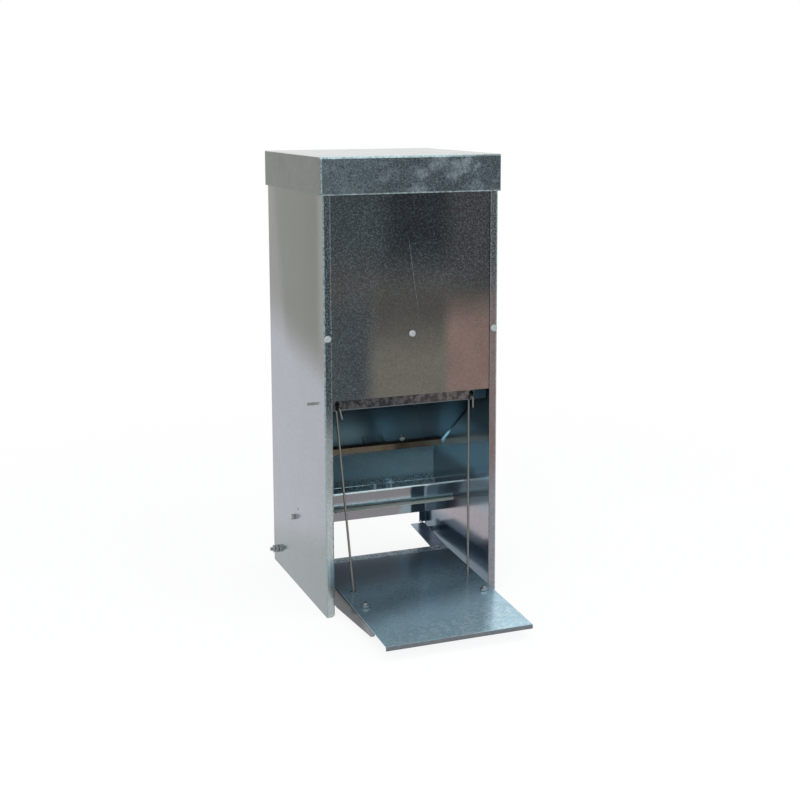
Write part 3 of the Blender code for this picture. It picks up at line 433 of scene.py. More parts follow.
def side_tones(f):
    """Painted reflections, olive above and pale below, with the flange, the inside, a painted
    highlight on the fold and a painted dark spot for the shade in the punched hole.
    """
    wide = abs(f.x)
    # The olive, pale, back and foot tones of the outside are painted reflections.
    back = f.between(f.y - f.z * 0.25, 0.060, 0.015)
    above = f.between(f.z - f.y * 0.12, 0.308, 0.400)
    colour = f.mix(tone(146, 151, 160), tone(104, 105, 102), above)
    left_share = f.between(f.x, 0.01, -0.01) * 0.65 + 0.35
    colour = f.mix(colour, tone(78, 82, 71), back * above * left_share)
    colour = f.mix(colour, tone(124, 126, 118), f.between(f.y, -0.015, -0.045) * above * 0.7)
    colour = f.mix(colour, tone(122, 131, 133), f.between(f.z + f.y * 0.25, 0.125, 0.075))
    inside = f.between(wide, SIDE_X - 0.0003, SIDE_X - 0.0007)
    colour = f.mix(colour, inner_side_painted_light(f), inside)
    flange = f.between(f.y, FRONT_Y + 0.0007, FRONT_Y + 0.0003)
    flange = flange * f.between(wide, SIDE_X, SIDE_X - 0.001)
    colour = f.mix(colour, flange_tones(f), flange)
    fronts = f.between(f.y, FRONT_Y + 0.0016, FRONT_Y + 0.0010)
    # A painted highlight along the front fold.
    bend_highlight = f.between(wide, SIDE_X - 0.0026, SIDE_X - 0.0016) * fronts
    colour = f.mix(colour, tone(140, 160, 162), bend_highlight * dotted(f, 0.6) * 0.9)
    edge = f.between(wide, SIDE_X - 0.0092, SIDE_X - 0.0098) * fronts
    colour = f.mix(colour, tone(108, 115, 117), edge * dotted(f, 0.8))
    # A painted dark spot for the shade inside the punched hole.
    dy, dz = f.y - PUNCH_HOLE[0], f.z - PUNCH_HOLE[1]
    return f.mix(colour, tone(60, 62, 64), f.between(dy * dy + dz * dz, *PUNCH_SQUARED))


print("the punched hole is dark within", round(math.sqrt(PUNCH_SQUARED[0]) * 1000, 1), "mm")

# %% [markdown]
# ### The front sheet
#
# The flat sheet above the opening is the largest thing in view. Its broad tones are painted
# reflections: dark above, olive below and reddish at the lower right. It is gritty above and
# calmer below. One long thin scratch runs down its middle. The grit is noise with a hard step,
# which reads as coarse zinc at this distance.

# %% Tones of the front sheet
SCRATCH_HALF_WIDTH = (0.0005, 0.0002)


def front_tones(f):
    """Painted reflections, blue-grey and dark above, olive below and reddish at the lower right,
    with grit and one long scratch.
    """
    # Painted reflections and painted shade: the low olive, the dark top, the corner, the tongue,
    # the red patch and the dusk.
    low = f.mix(tone(101, 98, 90), tone(70, 68, 65), f.between(f.z - f.x * 0.1, 0.33, 0.42))
    colour = f.mix(low, tone(50, 56, 60), f.between(f.z, 0.42, 0.52))
    corner = f.between(f.x, -0.045, -0.075) * f.between(f.z, 0.46, 0.40)
    colour = f.mix(colour, tone(58, 63, 66), corner)
    tongue = f.between(abs(f.x - 0.012), 0.075, 0.025) * f.between(f.z, 0.44, 0.52)
    colour = f.mix(colour, tone(30, 34, 39), tongue)
    red = f.between(f.x, 0.040, 0.062) * f.between(f.z, 0.445, 0.375)
    colour = f.mix(colour, tone(121, 101, 95), red)
    dusk = f.between(f.x, 0.030, 0.085) * f.between(f.z, 0.42, 0.48)
    colour = f.mix(colour, tone(52, 51, 53), dusk)
    calm = f.between(f.z, 0.47, 0.41) * f.between(f.x, -0.060, -0.035)
    grit = f.between(f.noise(530, 2), 0.46, 0.64) * (1 - calm * 0.7)
    colour = f.mix(colour, tone(96, 108, 112), grit * (1 - tongue * 0.5) * 0.42)
    flecks = f.noise(1.0, 2, f.stretched((420, 420, 700), (3, 1, 2), (0, 0.5, 0)))
    right_half = f.between(f.x, -0.03, 0.02)
    flecks = f.between(flecks, 0.66, 0.74) * right_half * f.between(f.z, 0.40, 0.50)
    colour = f.mix(colour, tone(150, 162, 168), flecks * 0.6)
    scratch = f.between(abs(f.x + (f.z - 0.455) * 0.14 - 0.003), *SCRATCH_HALF_WIDTH)
    scratch = scratch * f.between(f.z, 0.405, 0.425) * f.between(f.z, 0.515, 0.495)
    return f.mix(colour, tone(104, 112, 116), scratch * dotted(f, 0.6))


print("the scratch is", round(SCRATCH_HALF_WIDTH[0] * 2000, 1), "mm wide")

# %% [markdown]
# ### Back sheet, hopper floor and trough
#
# The back sheet and the hopper floor are hardly seen, so plain pale zinc will do. The trough is
# seen into: its rear wall is a painted blue reflection, its slope is darker and speckled, its front
# face is a painted reflection, mauve on the left and blue on the right, and its hemmed lip has a
# painted highlight, a bright line.

# %% Tones of the back sheet, the hopper floor and the trough
def back_tones(f):
    """Pale grey, a little darker above."""
    return f.mix(tone(160, 166, 170), tone(140, 146, 150), f.between(f.z, 0.2, 0.5))


def trough_tones(f):
    """Painted reflections on the blue rear wall and the mauve and blue face, a darker speckled
    slope, and a painted highlight on the lip.
    """
    # The face and the rear wall are painted reflections.
    face = f.mix(tone(108, 104, 110), tone(108, 132, 146), f.between(f.x, 0.043, 0.051))
    colour = f.mix(face, tone(194, 240, 255), f.between(f.y, 0.135, 0.150))
    slope = f.between(f.z, 0.124, 0.116) * f.between(f.z, 0.100, 0.107) * f.between(f.y, 0.08, 0.10)
    speckles = f.between(f.noise(330, 2), 0.42, 0.60)
    colour = f.mix(colour, f.mix(tone(184, 226, 240), tone(140, 172, 187), speckles), slope)
    # A painted highlight along the hemmed lip.
    lip = f.between(f.z, 0.1350, 0.1358) * f.between(f.y, 0.072, 0.066)
    return f.mix(colour, tone(222, 242, 247), lip)


# %% [markdown]
# ### The lid
#
# The lid's top is a painted reflection, nearly white. Its front skirt is the most mottled sheet of
# all, with fog, blots and grit of different sizes over each other, and its sides are plain. Its
# rims and its front fold carry painted highlights.

# %% Tones of the lid
def skirt_tones(f):
    """Dark blue-grey with fog, blots and two sizes of grit."""
    skirt = f.mix(tone(77, 89, 93), tone(61, 71, 76), f.between(f.x, -0.10, -0.02))
    fog = f.between(f.noise(34, 4, rough=0.6), 0.47, 0.66) * f.between(f.x, -0.13, 0.05)
    blots = f.between(f.noise(110, 4, rough=0.6), 0.48, 0.64)
    skirt = f.mix(skirt, tone(134, 146, 152), fog * 0.6 + blots * 0.16)
    skirt = f.mix(skirt, tone(44, 50, 55), f.between(f.noise(300, 3), 0.54, 0.68) * 0.6)
    return f.mix(skirt, tone(124, 140, 146), f.between(f.noise(500, 2), 0.50, 0.66) * 0.45)


def lid_tones(f):
    """A painted reflection, nearly white, on top; a mottled blue-grey skirt; beige-grey sides; and
    painted highlights on the rims and folds.
    """
    front = f.between(f.y, LID_LOW.y + 0.0012, LID_LOW.y + 0.0004)
    colour = f.mix(tone(98, 104, 97), skirt_tones(f), front)
    rim = f.between(f.z, LID_LOW.z + 0.0022, LID_LOW.z + 0.0012)
    fold = f.between(f.x, LID_LOW.x + 0.0030, LID_LOW.x + 0.0018)
    # Painted highlights along the lower rim and the front fold.
    rim_highlight = rim.maths("MAXIMUM", rim, fold) * front * dotted(f, 0.6)
    colour = f.mix(colour, tone(146, 162, 166), rim_highlight)
    far_fold = f.between(f.x, LID_HIGH.x - 0.0014, LID_HIGH.x - 0.0008)
    colour = f.mix(colour, tone(44, 50, 54), far_fold * front)
    # The top is a painted reflection, nearly white.
    top = f.between(f.z, LID_HIGH.z - 0.0012, LID_HIGH.z - 0.0004)
    colour = f.mix(colour, tone(203, 206, 205), top)
    # A painted highlight along the top front fold.
    crest_highlight = f.between(f.z, LID_HIGH.z - 0.0034, LID_HIGH.z - 0.0022)
    crest_highlight = crest_highlight * f.between(f.y, LID_LOW.y + 0.0022, LID_LOW.y + 0.0012)
    crest_highlight = crest_highlight * (1 - f.between(f.x, 0.03, 0.11) * 0.7)
    return f.mix(colour, tone(186, 212, 217), crest_highlight * dotted(f, 0.4))


print("the lid's skirt is", round((LID_HIGH.z - LID_LOW.z) * 1000, 1), "mm high")

# %% [markdown]
# ### The moving sheets
#
# The flap is dark blue underneath, because it looks down into the shade, and its rear lip is
# brown. The treadle plate is the cleanest sheet: it goes from steel blue behind, in painted shade,
# to a pale speckled front in painted light, with a painted reflection along its rear edge. Under
# it, the left arm is painted nearly black with shade and the right one blue-grey with painted
# light.

# %% Tones of the flap
FLAP_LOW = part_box("flap")[0]


def flap_tones(f):
    """Dark blue below, a brown rear lip, and a mottled grey strip in front."""
    lip = f.between(f.z, FLAP_LOW.z + 0.016, FLAP_LOW.z + 0.010)
    colour = f.mix(tone(36, 49, 59), tone(86, 77, 64), lip)
    mottle = f.between(f.noise(150, 5, rough=0.65), 0.40, 0.62)
    strip = f.mix(tone(30, 30, 33), tone(74, 74, 76), mottle)
    paler = f.mix(tone(58, 54, 55), tone(102, 94, 95), mottle)
    strip = f.mix(strip, paler, f.between(f.x, -0.03, 0.05))
    strip = f.mix(strip, tone(88, 122, 140), f.between(f.x, 0.100, 0.104))
    strip = f.mix(strip, tone(86, 92, 96), f.between(f.z, 0.2800, 0.2788))
    return f.mix(colour, strip, f.between(f.y, FLAP_LOW.y + 0.0020, FLAP_LOW.y + 0.0008))


print("the flap reaches down to", round(FLAP_LOW.z, 4), "m")

# %% Tones of the treadle plate and its arms
PLATE_LOW, PLATE_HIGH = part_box("treadle_plate")


def treadle_tones(f):
    """Steel blue, with painted shade behind and painted light in front, speckled in front, a grey
    lip and a pale painted reflection at the rear edge.
    """
    # Painted shade behind and painted light in front.
    ahead_of = f.y - f.x * 0.35 + (f.noise(12, 2) - 0.5) * 0.05
    colour = f.mix(tone(87, 106, 118), tone(108, 132, 145), f.between(ahead_of, 0.02, -0.04))
    colour = f.mix(colour, tone(160, 193, 208), f.between(ahead_of, -0.075, -0.15))
    spangle = f.between(f.cells(190), 0.45, 0.75) * f.between(ahead_of, -0.125, -0.19)
    colour = f.mix(colour, tone(190, 214, 222), spangle * 0.6)
    lip = f.between(f.y, PLATE_LOW.y + 0.0016, PLATE_LOW.y + 0.0006)
    colour = f.mix(colour, tone(98, 103, 107), lip)
    # A pale painted reflection along the rear edge.
    tail_reflection = f.between(f.y, PLATE_HIGH.y - 0.020, PLATE_HIGH.y - 0.013)
    speckles = f.between(f.noise(300, 3), 0.42, 0.60)
    return f.mix(colour, f.mix(tone(118, 138, 148), tone(170, 190, 197), speckles), tail_reflection)


def arm_tones(f):
    """Painted shade darkens the left arm, painted light makes the right one blue-grey and both
    fronts grey.
    """
    # Painted shade on the left arm, painted light on the right one and on both front ends.
    dark = f.mix(tone(20, 24, 28), tone(38, 42, 45), f.noise(14, 2))
    both = f.mix(dark, tone(126, 145, 160), f.between(f.x, -0.01, 0.01))
    return f.mix(both, tone(95, 102, 105), f.between(f.y, -0.115, -0.15))


print("the plate is", round(PLATE_HIGH.y - PLATE_LOW.y, 4), "m long")

# %% Finishes of the sheets
SHEET_FINISH = {
    "side_sheet": zinc("side_zinc", side_tones, 0.16, grain=0.30, cloud=0.12, speck=0.05),
    "front_sheet": zinc("front_zinc", front_tones, 0.30, grain=0.35, cloud=0.35, speck=0.15),
    "back_sheet": zinc("back_zinc", back_tones, 0.3),
    "hopper_floor_sheet": zinc("hopper_floor_zinc", back_tones, 0.3),
    "trough_sheet": zinc("trough_zinc", trough_tones, 0.12, 0.7, grain=0.2),
    "lid_sheet": zinc("lid_zinc", lid_tones, 0.35, grain=0.45, cloud=0.4, speck=0.4),
    "flap_sheet": zinc("flap_zinc", flap_tones, 0.14, 0.7, grain=0.3),
    "treadle_sheet": zinc("treadle_zinc", treadle_tones, 0.18, 0.6, grain=0.32),
    "arm_sheet": zinc("arm_zinc", arm_tones, 0.2, grain=0.3),
}
print("finishes:", ", ".join(SHEET_FINISH))

# %% [markdown]
# ## From a CAD node to a finished sheet
#
# A CAD node arrives as loose triangles with knife-sharp edges. Real sheet has a tiny burr-free
# radius that catches the light as a bright line. So a copy of the node is merged, its flat
# triangles are dissolved into clean faces, and the sharp edges get a narrow bevel. The copy then
# stands for the node, and rides on the same body.

# %% Copies with softened edges
MERGE = 0.000002
FLAT_ANGLE = 0.6


def copy_of(node):
    """A merged copy of a CAD node, with its flat triangles dissolved."""
    shape = bmesh.new()
    shape.from_mesh(frame["nodes"][node].data)
    bmesh.ops.remove_doubles(shape, verts=shape.verts, dist=MERGE)
    bmesh.ops.dissolve_limit(
        shape, angle_limit=math.radians(FLAT_ANGLE), verts=shape.verts, edges=shape.edges,
        delimit=set(),
    )
    return shape


def soften(shape, width, angle=50, segments=1):
    """Bevels the edges that are sharper than the angle."""
    sharp = [
        edge
        for edge in shape.edges
        if len(edge.link_faces) == 2 and edge.calc_face_angle(0) > math.radians(angle)
    ]
    bmesh.ops.bevel(
        shape, geom=sharp, offset=width, segments=segments, profile=0.5,
        affect="EDGES", clamp_overlap=True, material=-1,
    )
    return shape


sample = copy_of("lid")
print("the lid's copy has", len(sample.faces), "clean faces")
sample.free()

# %% Pieces that stand for a node
SLOT_OF = {row["node"]: row["material_slot"] for row in frame["record"]["subparts"]}
BODIES = frame["record"]["behaviour"]["bodies"]
BODY_OF = {node: body for body, members in BODIES.items() for node in members}
# Edges that turn by less than this many degrees are shaded smooth.
SHEET_SMOOTH, FASTENER_SMOOTH, ROUND_SMOOTH = 35, 25, 60


def piece(name, shape, node, finish, smooth=SHEET_SMOOTH):
    """Makes a bmesh the piece that stands for a node, at the origin and on the node's body."""
    mesh = bpy.data.meshes.new(name)
    shape.to_mesh(mesh)
    shape.free()
    mesh.materials.append(finish)
    mesh.shade_smooth()
    mesh.set_sharp_from_angle(angle=math.radians(smooth))
    made = bpy.data.objects.new(name, mesh)
    bpy.context.scene.collection.objects.link(made)
    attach(made, BODY_OF[node])
    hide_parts(node)
    return made


def weigh_normals(made):
    """Keeps large flat faces flat beside a smooth fold."""
    weighted = made.modifiers.new("flat_faces", "WEIGHTED_NORMAL")
    weighted.keep_sharp = True


print(len(SLOT_OF), "nodes wait for a piece")

# %% Sheets
CUT_EDGE = 0.00015
SHEETS = {
    "side_panel_left": "left_side_sheet",
    "side_panel_right": "right_side_sheet",
    "front_panel": "front_sheet",
    "back_panel": "back_sheet",
    "feed_chute": "hopper_floor",
    "trough": "trough_sheet",
    "lid": "lid_cap",
    "flap": "flap_sheet",
    "treadle_plate": "treadle_sheet",
    "lever_arm_left": "left_lever_arm",
    "lever_arm_right": "right_lever_arm",
}
for node, name in SHEETS.items():
    shape = soften(copy_of(node), CUT_EDGE)
    made = piece(name, shape, node, SHEET_FINISH[SLOT_OF[node]])
    weigh_normals(made)
    print(name, len(made.data.polygons), "faces")

# %% [markdown]
# ## Zinc plate and drawn wire
#
# The fasteners are bright zinc plate, smoother than the sheets. A few stand in the shade and are
# still seen as light spots, so theirs is paler and less metallic. The rods are plain drawn wire,
# grey with a trace of brown, with fine lines along their length. The bar is raw steel with scale
# on it.

# %% Finishes of fasteners, wire and bar
DRAWN_LINES = (2600, 2600, 60)


def plated(name, colour=(172, 178, 180), metallic=1.0):
    """Smooth zinc plate with a little unevenness."""
    f = Finish(name)
    level = 1 + (f.noise(500, 3) - 0.5) * 0.35
    f.set(Base_Color=f.shade(tone(*colour), level), Metallic=metallic)
    f.set(Roughness=0.22 + f.noise(900, 2) * 0.16)
    return f.material


def wire(name):
    """Drawn wire with lines along Z, the way the rods run."""
    f = Finish(name)
    along = f.noise(1.0, 3, f.stretched(DRAWN_LINES))
    colour = f.mix(tone(70, 69, 65), tone(170, 170, 162), along)
    f.set(Base_Color=colour, Metallic=1.0, Roughness=0.34 + f.noise(400, 2) * 0.2)
    return f.material


def bar(name):
    """Raw bar with patches of mill scale."""
    f = Finish(name)
    scale = f.between(f.noise(120, 4), 0.4, 0.65)
    colour = f.mix(tone(78, 78, 80), tone(112, 108, 104), scale)
    f.set(Base_Color=colour, Metallic=0.9, Roughness=0.45 + scale * 0.2)
    f.set(Normal=f.bump(f.noise(700, 3), 0.0003, 0.4))
    return f.material


FASTENER, WIRE, BAR = plated("bright_zinc_plate"), wire("drawn_wire"), bar("raw_bar_steel")
# A dark plated finish paints shade into the screw recesses.
AXLE, RECESS_SHADE = plated("zinc_wire", (176, 180, 174)), plated("recess_painted_shade", (58, 60, 62))
STUD = plated("stud_zinc", (214, 232, 238), 0.4)
PALE = plated("pale_zinc", (176, 184, 178), 0.4)
OTHER_FINISH = {"fastener": FASTENER, "wire": WIRE, "bar_steel": BAR}
print("finishes:", ", ".join(each.name for each in (FASTENER, WIRE, BAR, AXLE, RECESS_SHADE, STUD, PALE)))

# %% [markdown]
# ## Screws, nuts and threads
#
# A CAD fastener is a plain solid. The real ones are turned, threaded and stamped. A turned shape
# is a line spun about Z. A thread is a small V spun about Z while it climbs by one pitch a turn,
# then cut flat at both ends. A nut is a six-sided prism whose corners are lowered along a cone of
# 30 degrees, which leaves the arcs that every nut shows. Each shape is made upright at the origin
# and then stood in its place, so that one recipe serves both sides.

# %% Turned shapes
TURN = 2 * math.pi
UP, DOWN = (0, 0, 1), (0, 0, -1)
SAME_POINT = 0.000001


def line_of(shape, profile):
    """Joins points of radius and height into a line beside the Z axis."""
    points = [shape.verts.new((radius, 0, height)) for radius, height in profile]
    return points + [shape.edges.new(pair) for pair in zip(points, points[1:])]


def turned(profile, steps=32):
    """Spins a line about Z. A radius of 0 closes a pole."""
    shape = bmesh.new()
    bmesh.ops.spin(
        shape, geom=line_of(shape, profile), cent=(0, 0, 0), axis=UP,
        angle=TURN, steps=steps, use_merge=True,
    )
    bmesh.ops.remove_doubles(shape, verts=shape.verts, dist=SAME_POINT)
    bmesh.ops.recalc_face_normals(shape, faces=shape.faces)
    return shape


print("a full turn is", round(math.degrees(TURN)), "degrees")

# %% Threads
THREAD_DEPTH = 0.6  # in pitches
# Radius and pitch of the threads.
M4, M5, M6 = (0.0020, 0.0007), (0.0025, 0.0008), (0.0030, 0.0010)


def threaded(radius, pitch, length, steps=18):
    """A thread along Z from 0 to its length, cut flat at both ends."""
    root = radius - THREAD_DEPTH * pitch
    turns = math.ceil(length / pitch) + 1
    shape = bmesh.new()
    bmesh.ops.spin(
        shape, geom=line_of(shape, [(root, -pitch), (radius, -pitch / 2), (root, 0)]),
        cent=(0, 0, 0), axis=UP, dvec=(0, 0, pitch / steps), angle=TURN * turns,
        steps=steps * turns,
    )
    bmesh.ops.remove_doubles(shape, verts=shape.verts, dist=MERGE)
    for height, outside in ((0, DOWN), (length, UP)):
        everything = shape.verts[:] + shape.edges[:] + shape.faces[:]
        bmesh.ops.bisect_plane(
            shape, geom=everything, plane_co=(0, 0, height), plane_no=outside, clear_outer=True
        )
    rims = [edge for edge in shape.edges if edge.is_boundary]
    bmesh.ops.holes_fill(shape, edges=rims, sides=0)
    bmesh.ops.recalc_face_normals(shape, faces=shape.faces)
    return shape


print("threads of", *(round(radius * 2000) for radius, pitch in (M4, M5, M6)), "mm")

# %% Nuts and bolt heads
CHAMFER = math.tan(math.radians(30))
CHAMFER_START = 0.47  # radius where a hexagon's chamfer starts, as a share of its flats


def six_sided(flats, height):
    """A nut's or a bolt head's hexagon along Z from 0, with chamfered corners."""
    corner, face = flats / math.sqrt(3), flats * CHAMFER_START
    shape = bmesh.new()
    bmesh.ops.create_cone(
        shape, cap_ends=True, segments=6, radius1=corner, radius2=corner, depth=height
    )
    bmesh.ops.translate(shape, vec=(0, 0, height / 2), verts=shape.verts)
    rims = [e for e in shape.edges if abs(e.verts[0].co.z - e.verts[1].co.z) < height / 2]
    bmesh.ops.subdivide_edges(shape, edges=rims, cuts=3)
    caps = [each for each in shape.faces if abs(each.normal.z) > 0.9]
    bmesh.ops.inset_individual(shape, faces=caps, thickness=flats * 0.02)
    inner = {corner_point for cap in caps for corner_point in cap.verts}
    for vertex in shape.verts:
        out = vertex.co.xy.length
        if vertex in inner:
            vertex.co.xy *= face / out
        else:
            drop = max(out - face, 0) * CHAMFER
            vertex.co.z += drop if vertex.co.z < height / 2 else -drop
    return shape


sample = six_sided(0.01, 0.005)
print("a nut has", len(sample.faces), "faces")
sample.free()

# %% Stand a shape in its place
def stood(shape, at, axis=UP, spin=0.0):
    """Turns a shape's Z axis to another direction and moves its origin to a place."""
    turn = Vector(axis).to_track_quat("Z", "Y").to_matrix().to_4x4()
    turn = turn @ Matrix.Rotation(spin, 4, "Z")
    bmesh.ops.transform(shape, matrix=Matrix.Translation(at) @ turn, verts=shape.verts)
    return shape


def joined(*shapes):
    """Puts several shapes into one bmesh."""
    whole = bmesh.new()
    for shape in shapes:
        part = bpy.data.meshes.new("part")
        shape.to_mesh(part)
        shape.free()
        whole.from_mesh(part)
        bpy.data.meshes.remove(part)
    return whole


print("shapes can be stood and joined")

# %% [markdown]
# ## Bright plated fasteners
#
# Every fastener takes its place from the box of the CAD node it stands for, and each line printed
# below says how many millimetres the two boxes differ by. So a fastener can't drift from its
# hole.

# %% A fastener in its node's place
def middle(node, **given):
    """The middle of a node's box, with some of its coordinates given instead."""
    low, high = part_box(node)
    point = (low + high) / 2
    for axis, value in given.items():
        setattr(point, axis, value)
    return point


def inner_end(node):
    """How far a fastener's inner end is from the feeder's middle."""
    return min(abs(corner.x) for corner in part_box(node))


def fastener(node, shape, smooth=FASTENER_SMOOTH, finish=FASTENER):
    """Makes a shape the piece for a fastener's node, and returns how far the boxes differ."""
    made = piece(node + "_piece", shape, node, finish, smooth)
    # A second finish paints shade into a screw's recess.
    if any(face.material_index for face in made.data.polygons):
        made.data.materials.append(RECESS_SHADE)
    low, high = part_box(node)
    points = [vertex.co for vertex in made.data.vertices]
    gaps = [abs(min(p[i] for p in points) - low[i]) for i in range(3)]
    gaps += [abs(max(p[i] for p in points) - high[i]) for i in range(3)]
    return round(max(gaps) * 1000, 2)


print("the tie rod is centred at", [round(v, 4) for v in middle("tie_rod")])

# %% [markdown]
# ### Screws of the front sheet
#
# Three screws hold the front sheet and the hopper floor. Their heads are domed, with a cross
# recess for the driver. The recess could be cut with a boolean, but it is cleaner to pick the
# faces of the cross on the dome by their angle, push them in and draw them together. The sunk
# faces get a darker finish, a painted shade in the recess.

# %% A domed head
SCREW_HEAD = (0.0052, 0.0030)
# The recess, in shares of the head's radius and height. Its width is the sine of an angle.
CROSS_ARM, CROSS_CORE, CROSS_WIDTH = 0.45, 0.12, 0.4
CROSS_DEPTH, CROSS_TAPER = 0.55, 0.55


def domed_head(radius, height):
    """A screw's domed head with a cross recess, standing on Z = 0."""
    arm, core = radius * CROSS_ARM, radius * CROSS_CORE
    profile = [(0, 0), (radius, 0), (radius, height * 0.15), (radius * 0.9, height * 0.5)]
    profile += [(radius * 0.7, height * 0.8), (arm, height * 0.94), (core, height), (0, height)]
    shape = turned(profile)
    cross = []
    for each in shape.faces:
        at = each.calc_center_median()
        out, angle = at.xy.length, math.atan2(at.y, at.x)
        on_arm = out < arm and abs(math.sin(2 * angle)) < CROSS_WIDTH
        if at.z > height * 0.9 and (out < core or on_arm):
            cross.append(each)
    sunk = bmesh.ops.extrude_face_region(shape, geom=cross)["geom"]
    points = [part for part in sunk if isinstance(part, bmesh.types.BMVert)]
    bmesh.ops.translate(shape, vec=(0, 0, -height * CROSS_DEPTH), verts=points)
    bmesh.ops.scale(shape, vec=(CROSS_TAPER, CROSS_TAPER, 1), verts=points)
    # The sunk faces take the second finish, a painted shade in the recess.
    for each in shape.faces:
        if any(point in points for point in each.verts):
            each.material_index = 1
    return shape


print("a screw's head is", round(SCREW_HEAD[0] * 2000, 1), "mm across")

# %% Panel screws and their nuts
NUT_FLATS, NUT_HEIGHT = 0.008, 0.004
SCREW_TURN = 0.5
for side in ("left", "centre", "right"):
    node = "panel_screw_" + side
    low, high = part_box(node)
    seat = low.y + SCREW_HEAD[1]
    thread = stood(threaded(*M5, high.y - seat), (0, 0, 0), DOWN)
    screw = joined(domed_head(*SCREW_HEAD), thread)
    at = middle(node, y=seat)
    print("screw", side, fastener(node, stood(screw, at, (0, -1, 0), SCREW_TURN)))
    node = "panel_nut_" + side
    at.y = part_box(node)[0].y
    nut = stood(six_sided(NUT_FLATS, NUT_HEIGHT), at, (0, 1, 0))
    print("nut", side, fastener(node, nut))

# %% [markdown]
# ### Bearings of the treadle
#
# The treadle turns on two bolts. Each goes outwards through a lever arm and the side sheet, and a
# spacer keeps the two apart. Outside are a nut and a thin lock nut, which keeps the first from
# working loose. The same loop makes both sides: only the direction outwards changes its sign.

# %% Bearing bolts, nuts, lock nuts and spacers
BOLT_HEAD, BOLT_FLATS = 0.004, 0.010
FLAT_UP, CORNER_UP = TURN / 12, 0.0
SPACER_BORE, SPACER_RADIUS = 0.0031, 0.005
BROKEN_EDGE = 0.0004
SIDES = (("left", -1), ("right", 1))


def rod_profile(radius, length):
    """The outer line of a turned rod with broken edges."""
    end = radius - BROKEN_EDGE
    return [(end, 0), (radius, BROKEN_EDGE), (radius, length - BROKEN_EDGE), (end, length)]


for side, way in SIDES:
    outward = (way, 0, 0)
    node = "treadle_bolt_" + side
    low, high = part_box(node)
    shank = stood(threaded(*M6, high.x - low.x - BOLT_HEAD), (0, 0, BOLT_HEAD))
    bolt = joined(six_sided(BOLT_FLATS, BOLT_HEAD), shank)
    bolt = stood(bolt, middle(node, x=way * inner_end(node)), outward, FLAT_UP)
    print("bolt", side, fastener(node, bolt))
    for kind, height, spin in (("nut", 0.005, FLAT_UP), ("lock_nut", 0.003, CORNER_UP)):
        node = f"treadle_{kind}_{side}"
        nut = six_sided(BOLT_FLATS, height)
        nut = stood(nut, middle(node, x=way * inner_end(node)), outward, spin)
        print(kind, side, fastener(node, nut))
    node = "treadle_spacer_" + side
    low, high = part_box(node)
    length = high.x - low.x
    ends = [(SPACER_BORE, length), (SPACER_BORE, 0)]
    spacer = turned([(SPACER_BORE, 0)] + rod_profile(SPACER_RADIUS, length) + ends)
    spacer = stood(spacer, middle(node, x=way * inner_end(node)), outward)
    print("spacer", side, fastener(node, spacer))

# %% [markdown]
# ### Tie rod and cap nuts
#
# A threaded rod ties the two side sheets together in front of the trough. A cap nut covers each
# end outside. Its dome is turned and joined to a hexagon. The rod gets the paler finish, because
# it is seen in the shade as a light line.

# %% Tie rod with its cap nuts
ROD_STEPS = 12
CAP_CORNER, CAP_BASE = 0.0042, 0.0036
CAP_DOME = [(0, 0), (0.0036, 0), (0.0036, 0.0042), (0.0034, 0.0056), (0.0028, 0.0068)]
CAP_DOME += [(0.0016, 0.0080), (0.0007, 0.00835), (0, 0.0084)]
low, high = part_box("tie_rod")
rod = threaded(*M5, high.x - low.x, ROD_STEPS)
rod = stood(rod, middle("tie_rod", x=low.x), (1, 0, 0))
print("tie rod", fastener("tie_rod", rod, ROUND_SMOOTH, PALE))
for side, way in SIDES:
    node = "tie_rod_nut_" + side
    cap = joined(six_sided(CAP_CORNER * math.sqrt(3), CAP_BASE), turned(CAP_DOME))
    cap = stood(cap, middle(node, x=way * inner_end(node)), (way, 0, 0))
    print("cap nut", side, fastener(node, cap))

# %% [markdown]
# ### Bolts of the lever arms
#
# Two bolts join the treadle plate to its arms. The plate is pressed down by a few degrees at
# rest, so they stand at a right angle to it and not upright. Their length is worked out from the
# box of the node, less the height that the tilted ends add.

# %% Bolts between the plate and its arms
PRESSED = math.radians(3.15)
PLATE_UP = Vector((0, -math.sin(PRESSED), math.cos(PRESSED)))
ARM_NUT, ARM_HEAD, ARM_TIP = 0.004, 0.004, 0.0025
ARM_FLATS, ARM_CORNER = 0.0085, 0.0049
TILTED_ENDS = (M5[0] + ARM_CORNER) * math.sin(PRESSED)
for side in ("left", "right"):
    node = "arm_nut_" + side
    seat = middle(node) - PLATE_UP * (ARM_NUT / 2)
    nut = stood(six_sided(ARM_FLATS, ARM_NUT), seat, PLATE_UP)
    print("arm nut", side, fastener(node, nut))
    node = "arm_bolt_" + side
    top = seat + PLATE_UP * (ARM_NUT + ARM_TIP)
    low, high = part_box(node)
    length = (high.z - low.z) / PLATE_UP.z - TILTED_ENDS
    shank = stood(threaded(*M5, length - ARM_HEAD), (0, 0, ARM_HEAD))
    bolt = joined(six_sided(ARM_FLATS, ARM_HEAD), shank)
    print("arm bolt", side, fastener(node, stood(bolt, top - PLATE_UP * length, PLATE_UP)))

# %% [markdown]
# ### Studs in the trough
#
# A short stud and a bolt with its head up stand in the trough. Both are small, and they catch the
# light from above, so they have the palest finish.

